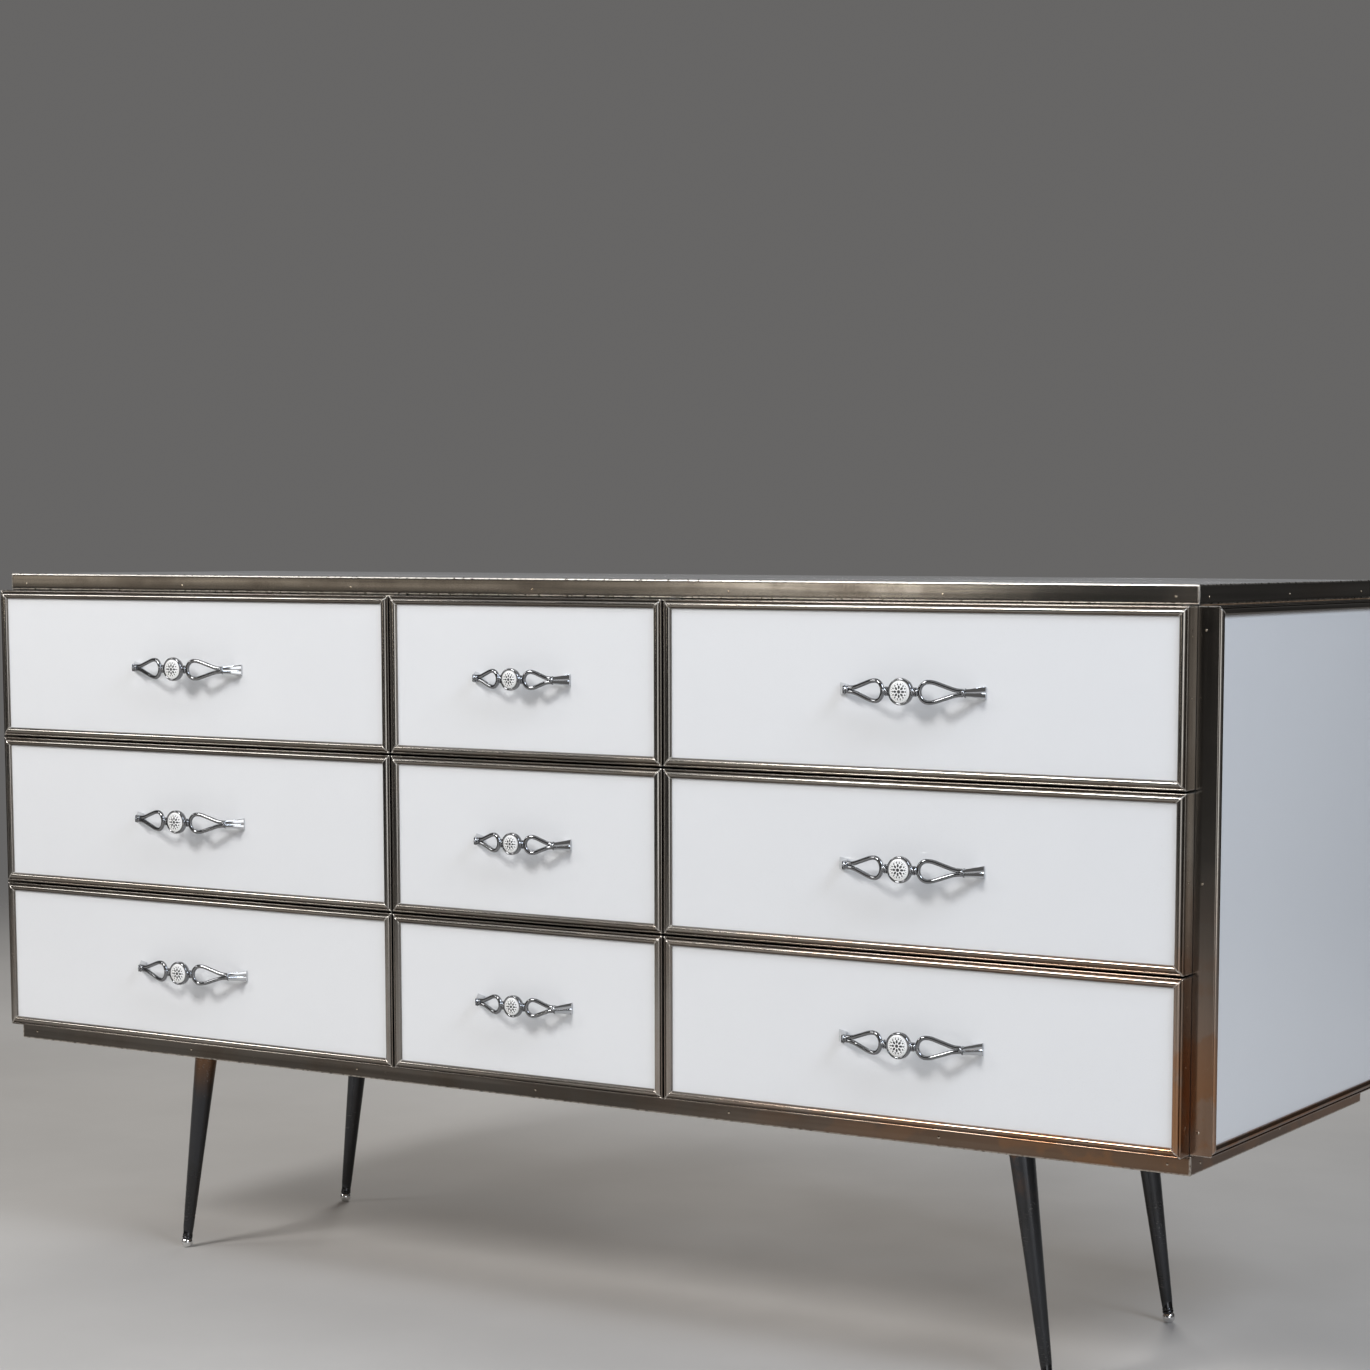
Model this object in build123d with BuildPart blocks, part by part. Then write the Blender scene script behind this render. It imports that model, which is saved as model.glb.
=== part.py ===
from build123d import *
import math
import os

os.makedirs("parts", exist_ok=True)

# Lengths are in millimetres. +Z is up, -Y is the front, the origin is on the floor under the middle.

# Grid of drawer fronts
row_names = ("upper", "middle", "lower")
column_names = ("left", "centre", "right")
outer_front_width = 620.0
centre_front_width = 377.0
front_height = 182.7
front_gap = 2.0
front_board_thickness = 16.0
front_glass_thickness = 4.0
front_rest_gap = 0.3

# Case boards
leg_height = 267.0
carcass_depth = 480.0
side_board_thickness = 18.0
partition_thickness = 18.0
top_board_thickness = 15.0
top_glass_thickness = 5.0
bottom_board_thickness = 20.0
back_thickness = 8.0
band_reveal = 1.0
side_reveal = 0.5
band_thickness = 1.2

# Side panels
panel_board_thickness = 17.0
panel_glass_thickness = 4.0

# Mitred edge moulding: a main bead at the glass, a small bead outside it, a flange down the edge
moulding_width = 10.4
moulding_lip = 0.8
moulding_crest = 4.2
moulding_valley = 1.4
moulding_bead = 2.3
moulding_edge = 1.2
flange_thickness = 1.2
crest_share = 0.42
valley_share = 0.76
bead_share = 0.88

# Drawer boxes
box_side_gap = 5.0
box_side_thickness = 14.0
box_side_height = 140.0
box_lift = 16.0
box_depth = 440.0
box_back_thickness = 12.0
box_back_drop = 10.0
box_bottom_thickness = 6.0
box_bottom_lift = 8.0
box_bottom_groove = 6.0

# Runner battens on the case, in grooves along the drawer sides
runner_height = 18.0
runner_length = 430.0
runner_setback = 16.0
runner_lift = 62.0
runner_groove_depth = 8.0
runner_groove_start = 12.0
runner_tip_gap = 0.8
runner_under_gap = 1.0

# Legs
leg_foot_inset_x = 196.0
leg_foot_inset_y = 82.0
leg_splay_x = 38.0
leg_splay_y = 4.0
leg_top_radius = 14.5
leg_foot_radius = 6.2
glide_radius = 7.3
glide_flat = 0.8
glide_seat = 5.0
plate_width = 76.0
plate_thickness = 4.0
plate_screw_spacing = 58.0

# Fasteners
wood_screw_radius = 2.0
wood_screw_head_radius = 4.0
wood_screw_head_height = 2.2
wood_screw_taper = 40.0
runner_screw_length = 20.0
runner_screw_inset = 60.0
panel_screw_length = 30.0
panel_screw_inset = 55.0
back_screw_length = 25.0
back_screw_inset = 70.0
plate_screw_length = 16.0
pull_screw_radius = 2.0
pull_screw_head_radius = 4.0
pull_screw_head_height = 2.4
pull_screw_bite = 4.5
screw_clearance = 0.3
thread_clearance = 0.05
nail_radius = 0.6
nail_length = 12.0
nail_head_radius = 1.6
nail_head_height = 0.9
nail_head_taper = 35.0
nail_spacing = 270.0
nail_end_inset = 24.0

# Bow pulls, the wide one for the outer columns and the narrow one for the centre
wide_pull_length = 172.0
wide_pull_rise = 30.0
wide_bezel_radius = 14.2
wide_neck_length = 5.6
wide_loop_length = 47.0
wide_loop_radius = 10.6
narrow_pull_length = 132.0
narrow_pull_rise = 27.0
narrow_bezel_radius = 12.6
narrow_neck_length = 3.4
narrow_loop_length = 33.6
narrow_loop_radius = 9.0
pull_bar_radius = 2.0
pull_bar_half_spacing = 2.2
loop_taper_angle = 22.0
loop_easing_radius = 20.0
neck_radius = 2.6
bezel_depth = 6.6
bezel_rounding = 1.6
disc_inset = 2.6
disc_crown = 1.5
disc_seat_depth = 2.0
disc_clearance = 0.2
disc_rounding = 1.2
collar_length = 6.0
collar_radius = 4.4
collar_rise = 16.0
foot_base_length = 10.0
foot_end_height = 3.0
foot_end_half_width = 6.75
foot_screw_inset = 6.0

# Places that follow from those sizes
stack_half = outer_front_width + front_gap + centre_front_width / 2
stack_height = len(row_names) * front_height + (len(row_names) - 1) * front_gap
carcass_half = stack_half + side_reveal
stack_bottom = leg_height + bottom_board_thickness + band_reveal
stack_top = stack_bottom + stack_height
top_underside = stack_top + band_reveal
top_glass_bottom = top_underside + top_board_thickness
overall_height = top_glass_bottom + top_glass_thickness
front_thickness = front_board_thickness + front_glass_thickness
overall_depth = wide_pull_rise + front_thickness + front_rest_gap + carcass_depth
glass_y = wide_pull_rise - overall_depth / 2
front_back_y = glass_y + front_thickness
carcass_y = front_back_y + front_rest_gap
rear_y = carcass_y + carcass_depth
boards_rear_y = rear_y - back_thickness
carcass_middle_y = carcass_y + carcass_depth / 2
bottom_board_top = leg_height + bottom_board_thickness
partition_x = centre_front_width / 2 + front_gap / 2
side_inner_x = carcass_half - side_board_thickness
runner_reach = box_side_gap + runner_groove_depth - runner_tip_gap


def block(low, high, mode=Mode.ADD):
    with Locations(low):
        Box(*(b - a for a, b in zip(low, high)), align=(Align.MIN, Align.MIN, Align.MIN), mode=mode)


def board(low, high):
    with BuildPart() as piece:
        block(low, high)
    return piece.part


def save(name, *pieces):
    with BuildPart() as node:
        add(pieces, mode=Mode.REPLACE)
    node.part.label = name
    export_step(node.part, f"parts/{name}.step")


def sunk_screw(point, direction, length):
    head_plane = Plane(point, z_dir=direction)
    with BuildPart() as piece:
        with BuildSketch(head_plane):
            Circle(wood_screw_radius)
        extrude(amount=length)
        with BuildSketch(head_plane):
            Circle(wood_screw_head_radius)
        extrude(amount=wood_screw_head_height, taper=wood_screw_taper)
    return piece.part


def pan_screw(point, direction, length, radius, head_radius, head_height):
    with BuildPart() as piece:
        with BuildSketch(Plane(point, z_dir=direction)):
            Circle(radius)
        extrude(amount=length)
        with BuildSketch(Plane(point, z_dir=-direction)):
            Circle(head_radius)
        extrude(amount=head_height)
    return piece.part


def nail(point, direction):
    with BuildPart() as piece:
        with BuildSketch(Plane(point, z_dir=direction)):
            Circle(nail_radius)
        extrude(amount=nail_length)
        with BuildSketch(Plane(point, z_dir=-direction)):
            Circle(nail_head_radius)
        extrude(amount=nail_head_height, taper=nail_head_taper)
    return piece.part


def spaced(low, high, pitch):
    count = max(1, round((high - low) / pitch))
    return [low + (high - low) * i / count for i in range(count + 1)]


# Mitred frames of four moulding strips

def moulding_strip(face, out, half_run, reach, flange_depth):
    run = out.cross(face.z_dir)
    inner_edge = face.origin + out * (reach - moulding_width)
    lip = (0, moulding_lip)
    valley = (valley_share * moulding_width, moulding_valley)
    edge = (moulding_width, moulding_edge)
    with BuildPart() as strip:
        with BuildSketch(Plane(inner_edge, x_dir=out, z_dir=run)):
            with BuildLine():
                ThreePointArc(lip, (crest_share * moulding_width, moulding_crest), valley)
                ThreePointArc(valley, (bead_share * moulding_width, moulding_bead), edge)
                Polyline(
                    edge,
                    (moulding_width, -flange_depth),
                    (moulding_width - flange_thickness, -flange_depth),
                    (moulding_width - flange_thickness, 0),
                    (0, 0),
                    lip,
                )
            make_face()
        extrude(amount=half_run, both=True)
        for end in (run, -run):
            corner = face.origin + out * reach + end * half_run
            split(bisect_by=Plane(corner, z_dir=end - out), keep=Keep.BOTTOM)
    return strip.part


def mitred_frame(face, width, height, flange_depth):
    sides = ((face.x_dir, height / 2, width / 2), (face.y_dir, width / 2, height / 2))
    return [
        moulding_strip(face, direction * sign, half_run, reach, flange_depth)
        for direction, half_run, reach in sides
        for sign in (1, -1)
    ]


# Case boards, glass top and back

case_front = (-carcass_half, carcass_y)
case_back = (carcass_half, boards_rear_y)
case_rear = (carcass_half, rear_y)
save("top_board", board((*case_front, top_underside), (*case_back, top_glass_bottom)))
save("bottom_board", board((*case_front, leg_height), (*case_back, bottom_board_top)))
save("top_glass", board((*case_front, top_glass_bottom), (*case_rear, overall_height)))
save("back_panel", board((-carcass_half, boards_rear_y, leg_height), (*case_rear, top_glass_bottom)))


def upright(low_x, high_x):
    return board((low_x, carcass_y, bottom_board_top), (high_x, boards_rear_y, top_underside))


save("left_side_board", upright(-carcass_half, -side_inner_x))
save("right_side_board", upright(side_inner_x, carcass_half))
half_partition = partition_thickness / 2
save("partitions", *(upright(x - half_partition, x + half_partition) for x in (-partition_x, partition_x)))


# Bands round the top and bottom edges: a front strip over the ends of two side strips

def band(low_z, high_z):
    outer = carcass_half + band_thickness
    return (
        board((-outer, carcass_y - band_thickness, low_z), (outer, carcass_y, high_z)),
        board((-outer, carcass_y, low_z), (-carcass_half, rear_y, high_z)),
        board((carcass_half, carcass_y, low_z), (outer, rear_y, high_z)),
    )


save("top_band", *band(top_underside, overall_height))
save("bottom_band", *band(leg_height, bottom_board_top))


# Side panels: board, glass and mitred frame, standing out from the case

panel_thickness = panel_board_thickness + panel_glass_thickness
panel_middle_z = (stack_bottom + stack_top) / 2
panel_low = (carcass_y + flange_thickness, stack_bottom + flange_thickness)
panel_high = (rear_y - flange_thickness, stack_top - flange_thickness)
for name, sign in (("left", -1), ("right", 1)):
    steps = (carcass_half, carcass_half + panel_board_thickness, carcass_half + panel_thickness)
    for layer, near, far in (("board", steps[0], steps[1]), ("glass", steps[1], steps[2])):
        low_x, high_x = sorted((sign * near, sign * far))
        save(f"{name}_panel_{layer}", board((low_x, *panel_low), (high_x, *panel_high)))
    panel_middle = (sign * steps[2], carcass_middle_y, panel_middle_z)
    panel_face = Plane(panel_middle, x_dir=(0, sign, 0), z_dir=(sign, 0, 0))
    save(f"{name}_panel_frame", *mitred_frame(panel_face, carcass_depth, stack_height, panel_thickness))


# Legs with plates and ball glides

leg_tops = []
glides = []
plates = []
plate_underside = leg_height - plate_thickness
for depth_name, depth_sign in (("front", -1), ("back", 1)):
    for side_name, side_sign in (("left", -1), ("right", 1)):
        ball = Vector(
            side_sign * (carcass_half - leg_foot_inset_x),
            carcass_middle_y + depth_sign * (carcass_depth / 2 - leg_foot_inset_y),
            glide_radius - glide_flat,
        )
        top = Vector(
            ball.X - side_sign * leg_splay_x,
            ball.Y - depth_sign * leg_splay_y,
            leg_height,
        )
        axis = (top - ball).normalized()
        seat = Plane(ball + axis * glide_seat, z_dir=axis)
        taper = (leg_top_radius - leg_foot_radius) / ((top - ball).length - glide_seat)
        loft_length = (top - ball).length - glide_seat + leg_top_radius
        with BuildPart() as leg:
            with BuildSketch(seat):
                Circle(leg_foot_radius)
            with BuildSketch(seat.offset(loft_length)):
                Circle(leg_foot_radius + taper * loft_length)
            loft()
            split(bisect_by=Plane.XY.offset(plate_underside), keep=Keep.BOTTOM)
        save(f"{depth_name}_{side_name}_leg", leg.part)

        with BuildPart() as glide:
            with Locations(ball):
                Sphere(glide_radius)
            split(bisect_by=Plane.XY, keep=Keep.TOP)
            split(bisect_by=seat, keep=Keep.BOTTOM)
        glides.append(glide.part)

        with BuildPart() as plate:
            with BuildSketch(Plane((top.X, top.Y, plate_underside))):
                Rectangle(plate_width, plate_width)
                with GridLocations(plate_screw_spacing, plate_screw_spacing, 2, 2):
                    Circle(wood_screw_radius + screw_clearance, mode=Mode.SUBTRACT)
            extrude(amount=plate_thickness)
        plates.append(plate.part)
        leg_tops.append(top)
save("leg_glides", *glides)
save("leg_plates", *plates)


# Columns of drawers: the middle of each, its front width and the width between its case walls

outer_column_x = partition_x + front_gap / 2 + outer_front_width / 2
outer_opening = (partition_x + half_partition, side_inner_x)
centre_opening = (half_partition - partition_x, partition_x - half_partition)
columns = {
    "left": (-outer_column_x, outer_front_width, (-outer_opening[1], -outer_opening[0])),
    "centre": (0, centre_front_width, centre_opening),
    "right": (outer_column_x, outer_front_width, outer_opening),
}
row_bottoms = {
    name: stack_top - front_height - i * (front_height + front_gap) for i, name in enumerate(row_names)
}

# Runner battens, with their screws

screws = []
runners = []
runner_front = carcass_y + runner_setback
for bottom in row_bottoms.values():
    runner_low = bottom + box_lift + runner_lift
    runner_top = runner_low + runner_height
    for *_, (wall_low, wall_high) in columns.values():
        for wall, inward in ((wall_low, 1), (wall_high, -1)):
            tip = wall + inward * runner_reach
            low_x, high_x = sorted((wall, tip))
            rear = runner_front + runner_length
            runners.append(board((low_x, runner_front, runner_low), (high_x, rear, runner_top)))
            for y in (runner_front + runner_screw_inset, rear - runner_screw_inset):
                head = Vector(tip, y, (runner_low + runner_top) / 2)
                screws.append(sunk_screw(head, Vector(-inward, 0, 0), runner_screw_length))
save("runners", *runners)

# Screws of the leg plates, the side panels and the back

for top in leg_tops:
    for x_sign in (-1, 1):
        for y_sign in (-1, 1):
            half_spacing = plate_screw_spacing / 2
            head = Vector(top.X + x_sign * half_spacing, top.Y + y_sign * half_spacing, plate_underside)
            screws.append(
                pan_screw(
                    head,
                    Vector(0, 0, 1),
                    plate_screw_length,
                    wood_screw_radius,
                    wood_screw_head_radius,
                    wood_screw_head_height,
                )
            )
for sign in (-1, 1):
    for y in (carcass_y + panel_screw_inset, boards_rear_y - panel_screw_inset):
        for z in (stack_bottom + panel_screw_inset, stack_top - panel_screw_inset):
            head = Vector(sign * side_inner_x, y, z)
            screws.append(sunk_screw(head, Vector(sign, 0, 0), panel_screw_length))
side_middle_x = carcass_half - side_board_thickness / 2
for x in (-side_middle_x, -partition_x, partition_x, side_middle_x):
    for z in (stack_bottom + back_screw_inset, stack_top - back_screw_inset):
        screws.append(sunk_screw(Vector(x, rear_y, z), Vector(0, -1, 0), back_screw_length))
save("wood_screws", *screws)

# Nails of the bands and of the flat strips on the side panels' front edges

nails = []
front_nail_xs = spaced(nail_end_inset - carcass_half, carcass_half - nail_end_inset, nail_spacing)
side_nail_ys = spaced(carcass_y + nail_end_inset, boards_rear_y - nail_end_inset, nail_spacing)
for z in (top_underside + top_board_thickness / 2, leg_height + bottom_board_thickness / 2):
    for x in front_nail_xs:
        nails.append(nail(Vector(x, carcass_y - band_thickness, z), Vector(0, 1, 0)))
    for sign in (-1, 1):
        for y in side_nail_ys:
            nails.append(nail(Vector(sign * (carcass_half + band_thickness), y, z), Vector(-sign, 0, 0)))
for sign in (-1, 1):
    edge_x = sign * (carcass_half + panel_board_thickness / 2)
    for z in spaced(stack_bottom + nail_end_inset, stack_top - nail_end_inset, nail_spacing):
        nails.append(nail(Vector(edge_x, carcass_y, z), Vector(0, 1, 0)))
save("trim_nails", *nails)


# Bow pulls, made about the middle of a front: X along the pull, -Y out from the glass, Z up

def loop_points(loop_radius, length, up):
    angle = math.radians(loop_taper_angle)
    sine, cosine = math.sin(angle), math.cos(angle)
    half_sine, half_cosine = math.sin(angle / 2), math.cos(angle / 2)
    drop = loop_radius * cosine - pull_bar_half_spacing - loop_easing_radius * (1 - cosine)
    round_end = (loop_radius * (1 + sine), loop_radius * cosine)
    straight_end = (round_end[0] + drop * cosine / sine, round_end[1] - drop)
    eased_end = (straight_end[0] + loop_easing_radius * sine, pull_bar_half_spacing)
    eased_middle = (
        eased_end[0] - loop_easing_radius * half_sine,
        pull_bar_half_spacing + loop_easing_radius * (1 - half_cosine),
    )
    round_middle = (loop_radius * (1 - cosine), loop_radius * sine)
    bar_end = (length, pull_bar_half_spacing)
    points = ((0, 0), round_middle, round_end, straight_end, eased_middle, eased_end, bar_end)
    return [(along, up * across) for along, across in points]


def make_pull(length, rise, bezel_radius, neck_length, loop_length, loop_radius):
    bezel_top = rise - disc_crown
    bezel_bottom = bezel_top - bezel_depth
    neck_rise = (bezel_top + bezel_bottom) / 2
    loop_start = bezel_radius + neck_length + pull_bar_radius
    collar_start = bezel_radius + neck_length + loop_length
    foot_start = collar_start + collar_length
    foot_end = length / 2
    front = Plane.XZ
    disc_radius = bezel_radius - disc_inset

    with BuildPart() as bow:
        with BuildSketch(front.offset(bezel_bottom)):
            Circle(bezel_radius)
        extrude(amount=bezel_depth)
        fillet(bow.edges().filter_by(GeomType.CIRCLE), radius=bezel_rounding)
        for sign in (-1, 1):
            start = Vector(sign * loop_start, -neck_rise, 0)
            end = Vector(sign * (collar_start + collar_length / 2), -collar_rise, 0)
            along = end - start
            loop_plane = Plane(start, x_dir=along, z_dir=along.cross(Vector(0, 0, 1)))
            for up in (-1, 1):
                points = loop_points(loop_radius, along.length, up)
                with BuildLine(loop_plane) as strand:
                    ThreePointArc(*points[0:3])
                    Line(points[2], points[3])
                    ThreePointArc(*points[3:6])
                    Line(points[5], points[6])
                with BuildSketch(Plane(strand.line @ 0, z_dir=strand.line % 0)):
                    Circle(pull_bar_radius)
                sweep(path=strand.line)
            with BuildSketch(Plane((0, -neck_rise, 0), z_dir=(sign, 0, 0))):
                Circle(neck_radius)
            extrude(amount=loop_start)
            with BuildSketch(Plane((sign * collar_start, -collar_rise, 0), z_dir=(sign, 0, 0))):
                Circle(collar_radius)
            extrude(amount=collar_length)
        with BuildSketch(front.offset(bezel_top - disc_seat_depth)):
            Circle(disc_radius + disc_clearance)
        extrude(amount=disc_seat_depth, mode=Mode.SUBTRACT)

    with BuildPart() as disc:
        with BuildSketch(front.offset(bezel_top - disc_seat_depth)):
            Circle(disc_radius)
        extrude(amount=disc_seat_depth + disc_crown)
        fillet(disc.edges().group_by(Axis.Y)[0], radius=disc_rounding)

    pieces = [bow.part, disc.part]
    screw_x = foot_end - foot_screw_inset
    screw_length = front_thickness + pull_screw_bite
    for sign in (-1, 1):
        side_outline = (
            (sign * foot_start, collar_rise + collar_radius),
            (sign * foot_end, foot_end_height),
            (sign * foot_end, 0),
            (sign * (foot_end - foot_base_length), 0),
            (sign * foot_start, collar_rise - collar_radius),
        )
        with BuildPart() as foot:
            with BuildSketch(Plane((0, 0, 0), x_dir=(1, 0, 0), z_dir=(0, 0, -1))):
                with BuildLine():
                    Polyline(*side_outline, close=True)
                make_face()
            extrude(amount=foot_end_half_width, both=True)
            with BuildSketch(front):
                with BuildLine():
                    Polyline(
                        (sign * foot_start, -collar_radius),
                        (sign * foot_end, -foot_end_half_width),
                        (sign * foot_end, foot_end_half_width),
                        (sign * foot_start, collar_radius),
                        close=True,
                    )
                make_face()
            extrude(amount=rise, mode=Mode.INTERSECT)
            with BuildSketch(Plane((sign * screw_x, 0, 0), x_dir=(1, 0, 0), z_dir=(0, -1, 0))):
                Circle(pull_screw_radius + thread_clearance)
            extrude(amount=pull_screw_bite, mode=Mode.SUBTRACT)
        pieces.append(foot.part)
        pieces.append(
            pan_screw(
                Vector(sign * screw_x, front_thickness, 0),
                Vector(0, -1, 0),
                screw_length,
                pull_screw_radius,
                pull_screw_head_radius,
                pull_screw_head_height,
            )
        )
    return pieces


wide_pull = make_pull(
    wide_pull_length, wide_pull_rise, wide_bezel_radius, wide_neck_length, wide_loop_length, wide_loop_radius
)
narrow_pull = make_pull(
    narrow_pull_length,
    narrow_pull_rise,
    narrow_bezel_radius,
    narrow_neck_length,
    narrow_loop_length,
    narrow_loop_radius,
)
pulls = {"left": (wide_pull, wide_pull_length), "centre": (narrow_pull, narrow_pull_length)}
pulls["right"] = pulls["left"]


# Drawers: wooden box, glass front, mitred frame and pull

def pull_holes(middle_x, middle_z, screw_x, front_y):
    for x in (middle_x - screw_x, middle_x + screw_x):
        with Locations(Plane((x, front_y, middle_z), z_dir=(0, -1, 0))):
            Hole(pull_screw_radius + screw_clearance)


def make_drawer(name, middle_x, front_width, opening, bottom, pull, pull_length):
    middle_z = bottom + front_height / 2
    screw_x = pull_length / 2 - foot_screw_inset
    face_half = front_width / 2 - flange_thickness
    face_low, face_high = bottom + flange_thickness, bottom + front_height - flange_thickness
    board_y = glass_y + front_glass_thickness
    box_low_x, box_high_x = opening[0] + box_side_gap, opening[1] - box_side_gap
    inner_low_x, inner_high_x = box_low_x + box_side_thickness, box_high_x - box_side_thickness
    box_low_z = bottom + box_lift
    box_high_z = box_low_z + box_side_height
    panel_low_z = box_low_z + box_bottom_lift
    panel_high_z = panel_low_z + box_bottom_thickness
    box_rear_y = front_back_y + box_depth
    back_y = box_rear_y - box_back_thickness
    bottom_low = (inner_low_x - box_bottom_groove, front_back_y - box_bottom_groove, panel_low_z)
    bottom_high = (inner_high_x + box_bottom_groove, box_rear_y, panel_high_z)
    groove_low_z = box_low_z + runner_lift - runner_under_gap
    groove_high_z = box_low_z + runner_lift + runner_height

    with BuildPart() as front_board:
        block((middle_x - face_half, board_y, face_low), (middle_x + face_half, front_back_y, face_high))
        block(bottom_low, bottom_high, mode=Mode.SUBTRACT)
        pull_holes(middle_x, middle_z, screw_x, board_y)
    sides = []
    groove_y = front_back_y + runner_groove_start
    for outer_x, inner_x, inward in ((box_low_x, inner_low_x, 1), (box_high_x, inner_high_x, -1)):
        low_x, high_x = sorted((outer_x, inner_x))
        groove_xs = sorted((outer_x, outer_x + inward * runner_groove_depth))
        with BuildPart() as side:
            block((low_x, front_back_y, box_low_z), (high_x, box_rear_y, box_high_z))
            block(bottom_low, bottom_high, mode=Mode.SUBTRACT)
            block(
                (groove_xs[0], groove_y, groove_low_z),
                (groove_xs[1], box_rear_y, groove_high_z),
                mode=Mode.SUBTRACT,
            )
        sides.append(side.part)
    back = board((inner_low_x, back_y, panel_high_z), (inner_high_x, box_rear_y, box_high_z - box_back_drop))
    save(f"{name}_box", front_board.part, *sides, back, board(bottom_low, bottom_high))

    with BuildPart() as glass:
        block((middle_x - face_half, glass_y, face_low), (middle_x + face_half, board_y, face_high))
        pull_holes(middle_x, middle_z, screw_x, glass_y)
    save(f"{name}_glass", glass.part)

    face = Plane((middle_x, glass_y, middle_z), x_dir=(1, 0, 0), z_dir=(0, -1, 0))
    save(f"{name}_frame", *mitred_frame(face, front_width, front_height, front_thickness))

    with BuildPart() as placed_pull:
        with Locations((middle_x, glass_y, middle_z)):
            add(pull, mode=Mode.REPLACE)
    save(f"{name}_pull", placed_pull.part)


for row_name, row_bottom in row_bottoms.items():
    for column_name in column_names:
        make_drawer(f"{row_name}_{column_name}", *columns[column_name], row_bottom, *pulls[column_name])
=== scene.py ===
from math import atan2, cos, hypot, pi, radians, sin, sqrt
import bpy
import bmesh
from mathutils import Matrix, Vector


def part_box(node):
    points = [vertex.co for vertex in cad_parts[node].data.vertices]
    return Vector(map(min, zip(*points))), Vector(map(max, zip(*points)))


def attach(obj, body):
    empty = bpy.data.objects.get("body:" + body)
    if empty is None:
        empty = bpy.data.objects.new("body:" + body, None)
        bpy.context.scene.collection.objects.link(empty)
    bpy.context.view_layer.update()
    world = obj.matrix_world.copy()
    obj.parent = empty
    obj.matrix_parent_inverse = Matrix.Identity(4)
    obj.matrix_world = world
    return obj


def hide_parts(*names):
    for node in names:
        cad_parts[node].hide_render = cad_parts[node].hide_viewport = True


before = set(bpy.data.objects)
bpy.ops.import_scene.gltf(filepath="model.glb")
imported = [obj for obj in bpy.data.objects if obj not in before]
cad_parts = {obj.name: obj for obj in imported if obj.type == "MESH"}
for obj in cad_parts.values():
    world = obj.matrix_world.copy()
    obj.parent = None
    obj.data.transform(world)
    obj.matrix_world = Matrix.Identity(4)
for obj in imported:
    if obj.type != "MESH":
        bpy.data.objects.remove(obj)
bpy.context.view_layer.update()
scene = bpy.context.scene
scene.view_settings.view_transform = "Standard"
rowNames = ("upper", "middle", "lower")
columnNames = ("left", "centre", "right")
drawerNames = [f"{row}_{column}" for row in rowNames for column in columnNames]
quarter = radians(90.0)


def addObject(name, data):
    made = bpy.data.objects.new(name, data)
    scene.collection.objects.link(made)
    return made


# camera at the front right corner, a little above the top
viewPoint = {
    "position": (2.003, -2.96115, 0.8997), "yaw": 31.21, "pitch": 6.03, "roll": 0.11, "lens": 78.67,
    "sensor": 36.0, "shift": (-0.0763, 0.1281),
}
cameraData = bpy.data.cameras.new("photoCamera")
cameraData.lens = viewPoint["lens"]
cameraData.sensor_width = viewPoint["sensor"]
cameraData.shift_x, cameraData.shift_y = viewPoint["shift"]
camera = addObject("photoCamera", cameraData)
camera.matrix_world = (
    Matrix.Translation(viewPoint["position"])
    @ Matrix.Rotation(radians(viewPoint["yaw"]), 4, "Z")
    @ Matrix.Rotation(radians(90.0 - viewPoint["pitch"]), 4, "X")
    @ Matrix.Rotation(radians(viewPoint["roll"]), 4, "Z")
)
scene.camera = camera
print("camera: lens", viewPoint["lens"], "mm")


# node helpers, for shaders and for geometry
def setInputs(tree, sockets, values):
    for label, value in values.items():
        socket = sockets[label]
        if isinstance(value, bpy.types.NodeSocket):
            tree.links.new(value, socket)
        else:
            socket.default_value = (*value, 1.0) if socket.type == "RGBA" else value


def addNode(tree, kind, inputs=None, **props):
    node = tree.nodes.new(kind)
    for prop, value in props.items():
        setattr(node, prop, value)
    setInputs(tree, node.inputs, inputs or {})
    return node


def nodeOut(tree, kind, inputs=None, **props):
    return addNode(tree, kind, inputs, **props).outputs[0]


def mixColor(tree, factor, first, second, blend="MIX"):
    sockets = {0: factor, 6: first, 7: second}
    return addNode(tree, "ShaderNodeMix", sockets, data_type="RGBA", blend_type=blend).outputs[2]


def mathValue(tree, operation, first, second=0.0):
    return nodeOut(tree, "ShaderNodeMath", {0: first, 1: second}, operation=operation)


def times(tree, first, second):
    return mathValue(tree, "MULTIPLY", first, second)


def mapRange(tree, value, low, high, start=0.0, end=1.0):
    sockets = {"Value": value, "From Min": low, "From Max": high, "To Min": start, "To Max": end}
    return nodeOut(tree, "ShaderNodeMapRange", sockets, interpolation_type="SMOOTHSTEP")


def noiseValue(tree, vector, scale, detail, rough=0.55):
    sockets = {"Vector": vector, "Scale": scale, "Detail": detail, "Roughness": rough}
    return nodeOut(tree, "ShaderNodeTexNoise", sockets)


def noiseMask(tree, vector, noise, span):
    return mapRange(tree, noiseValue(tree, vector, *noise), *span)


def stretch(tree, vector, factors):
    return nodeOut(tree, "ShaderNodeVectorMath", {0: vector, 1: factors}, operation="MULTIPLY")


def makeGroup(name, inputs, outputs, treeKind="ShaderNodeTree"):
    tree = bpy.data.node_groups.new(name, treeKind)
    for way, sockets in (("INPUT", inputs), ("OUTPUT", outputs)):
        for label, kind in sockets:
            tree.interface.new_socket(label, in_out=way, socket_type=f"NodeSocket{kind}")
    return tree, tree.nodes.new("NodeGroupInput").outputs, tree.nodes.new("NodeGroupOutput").inputs


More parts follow.
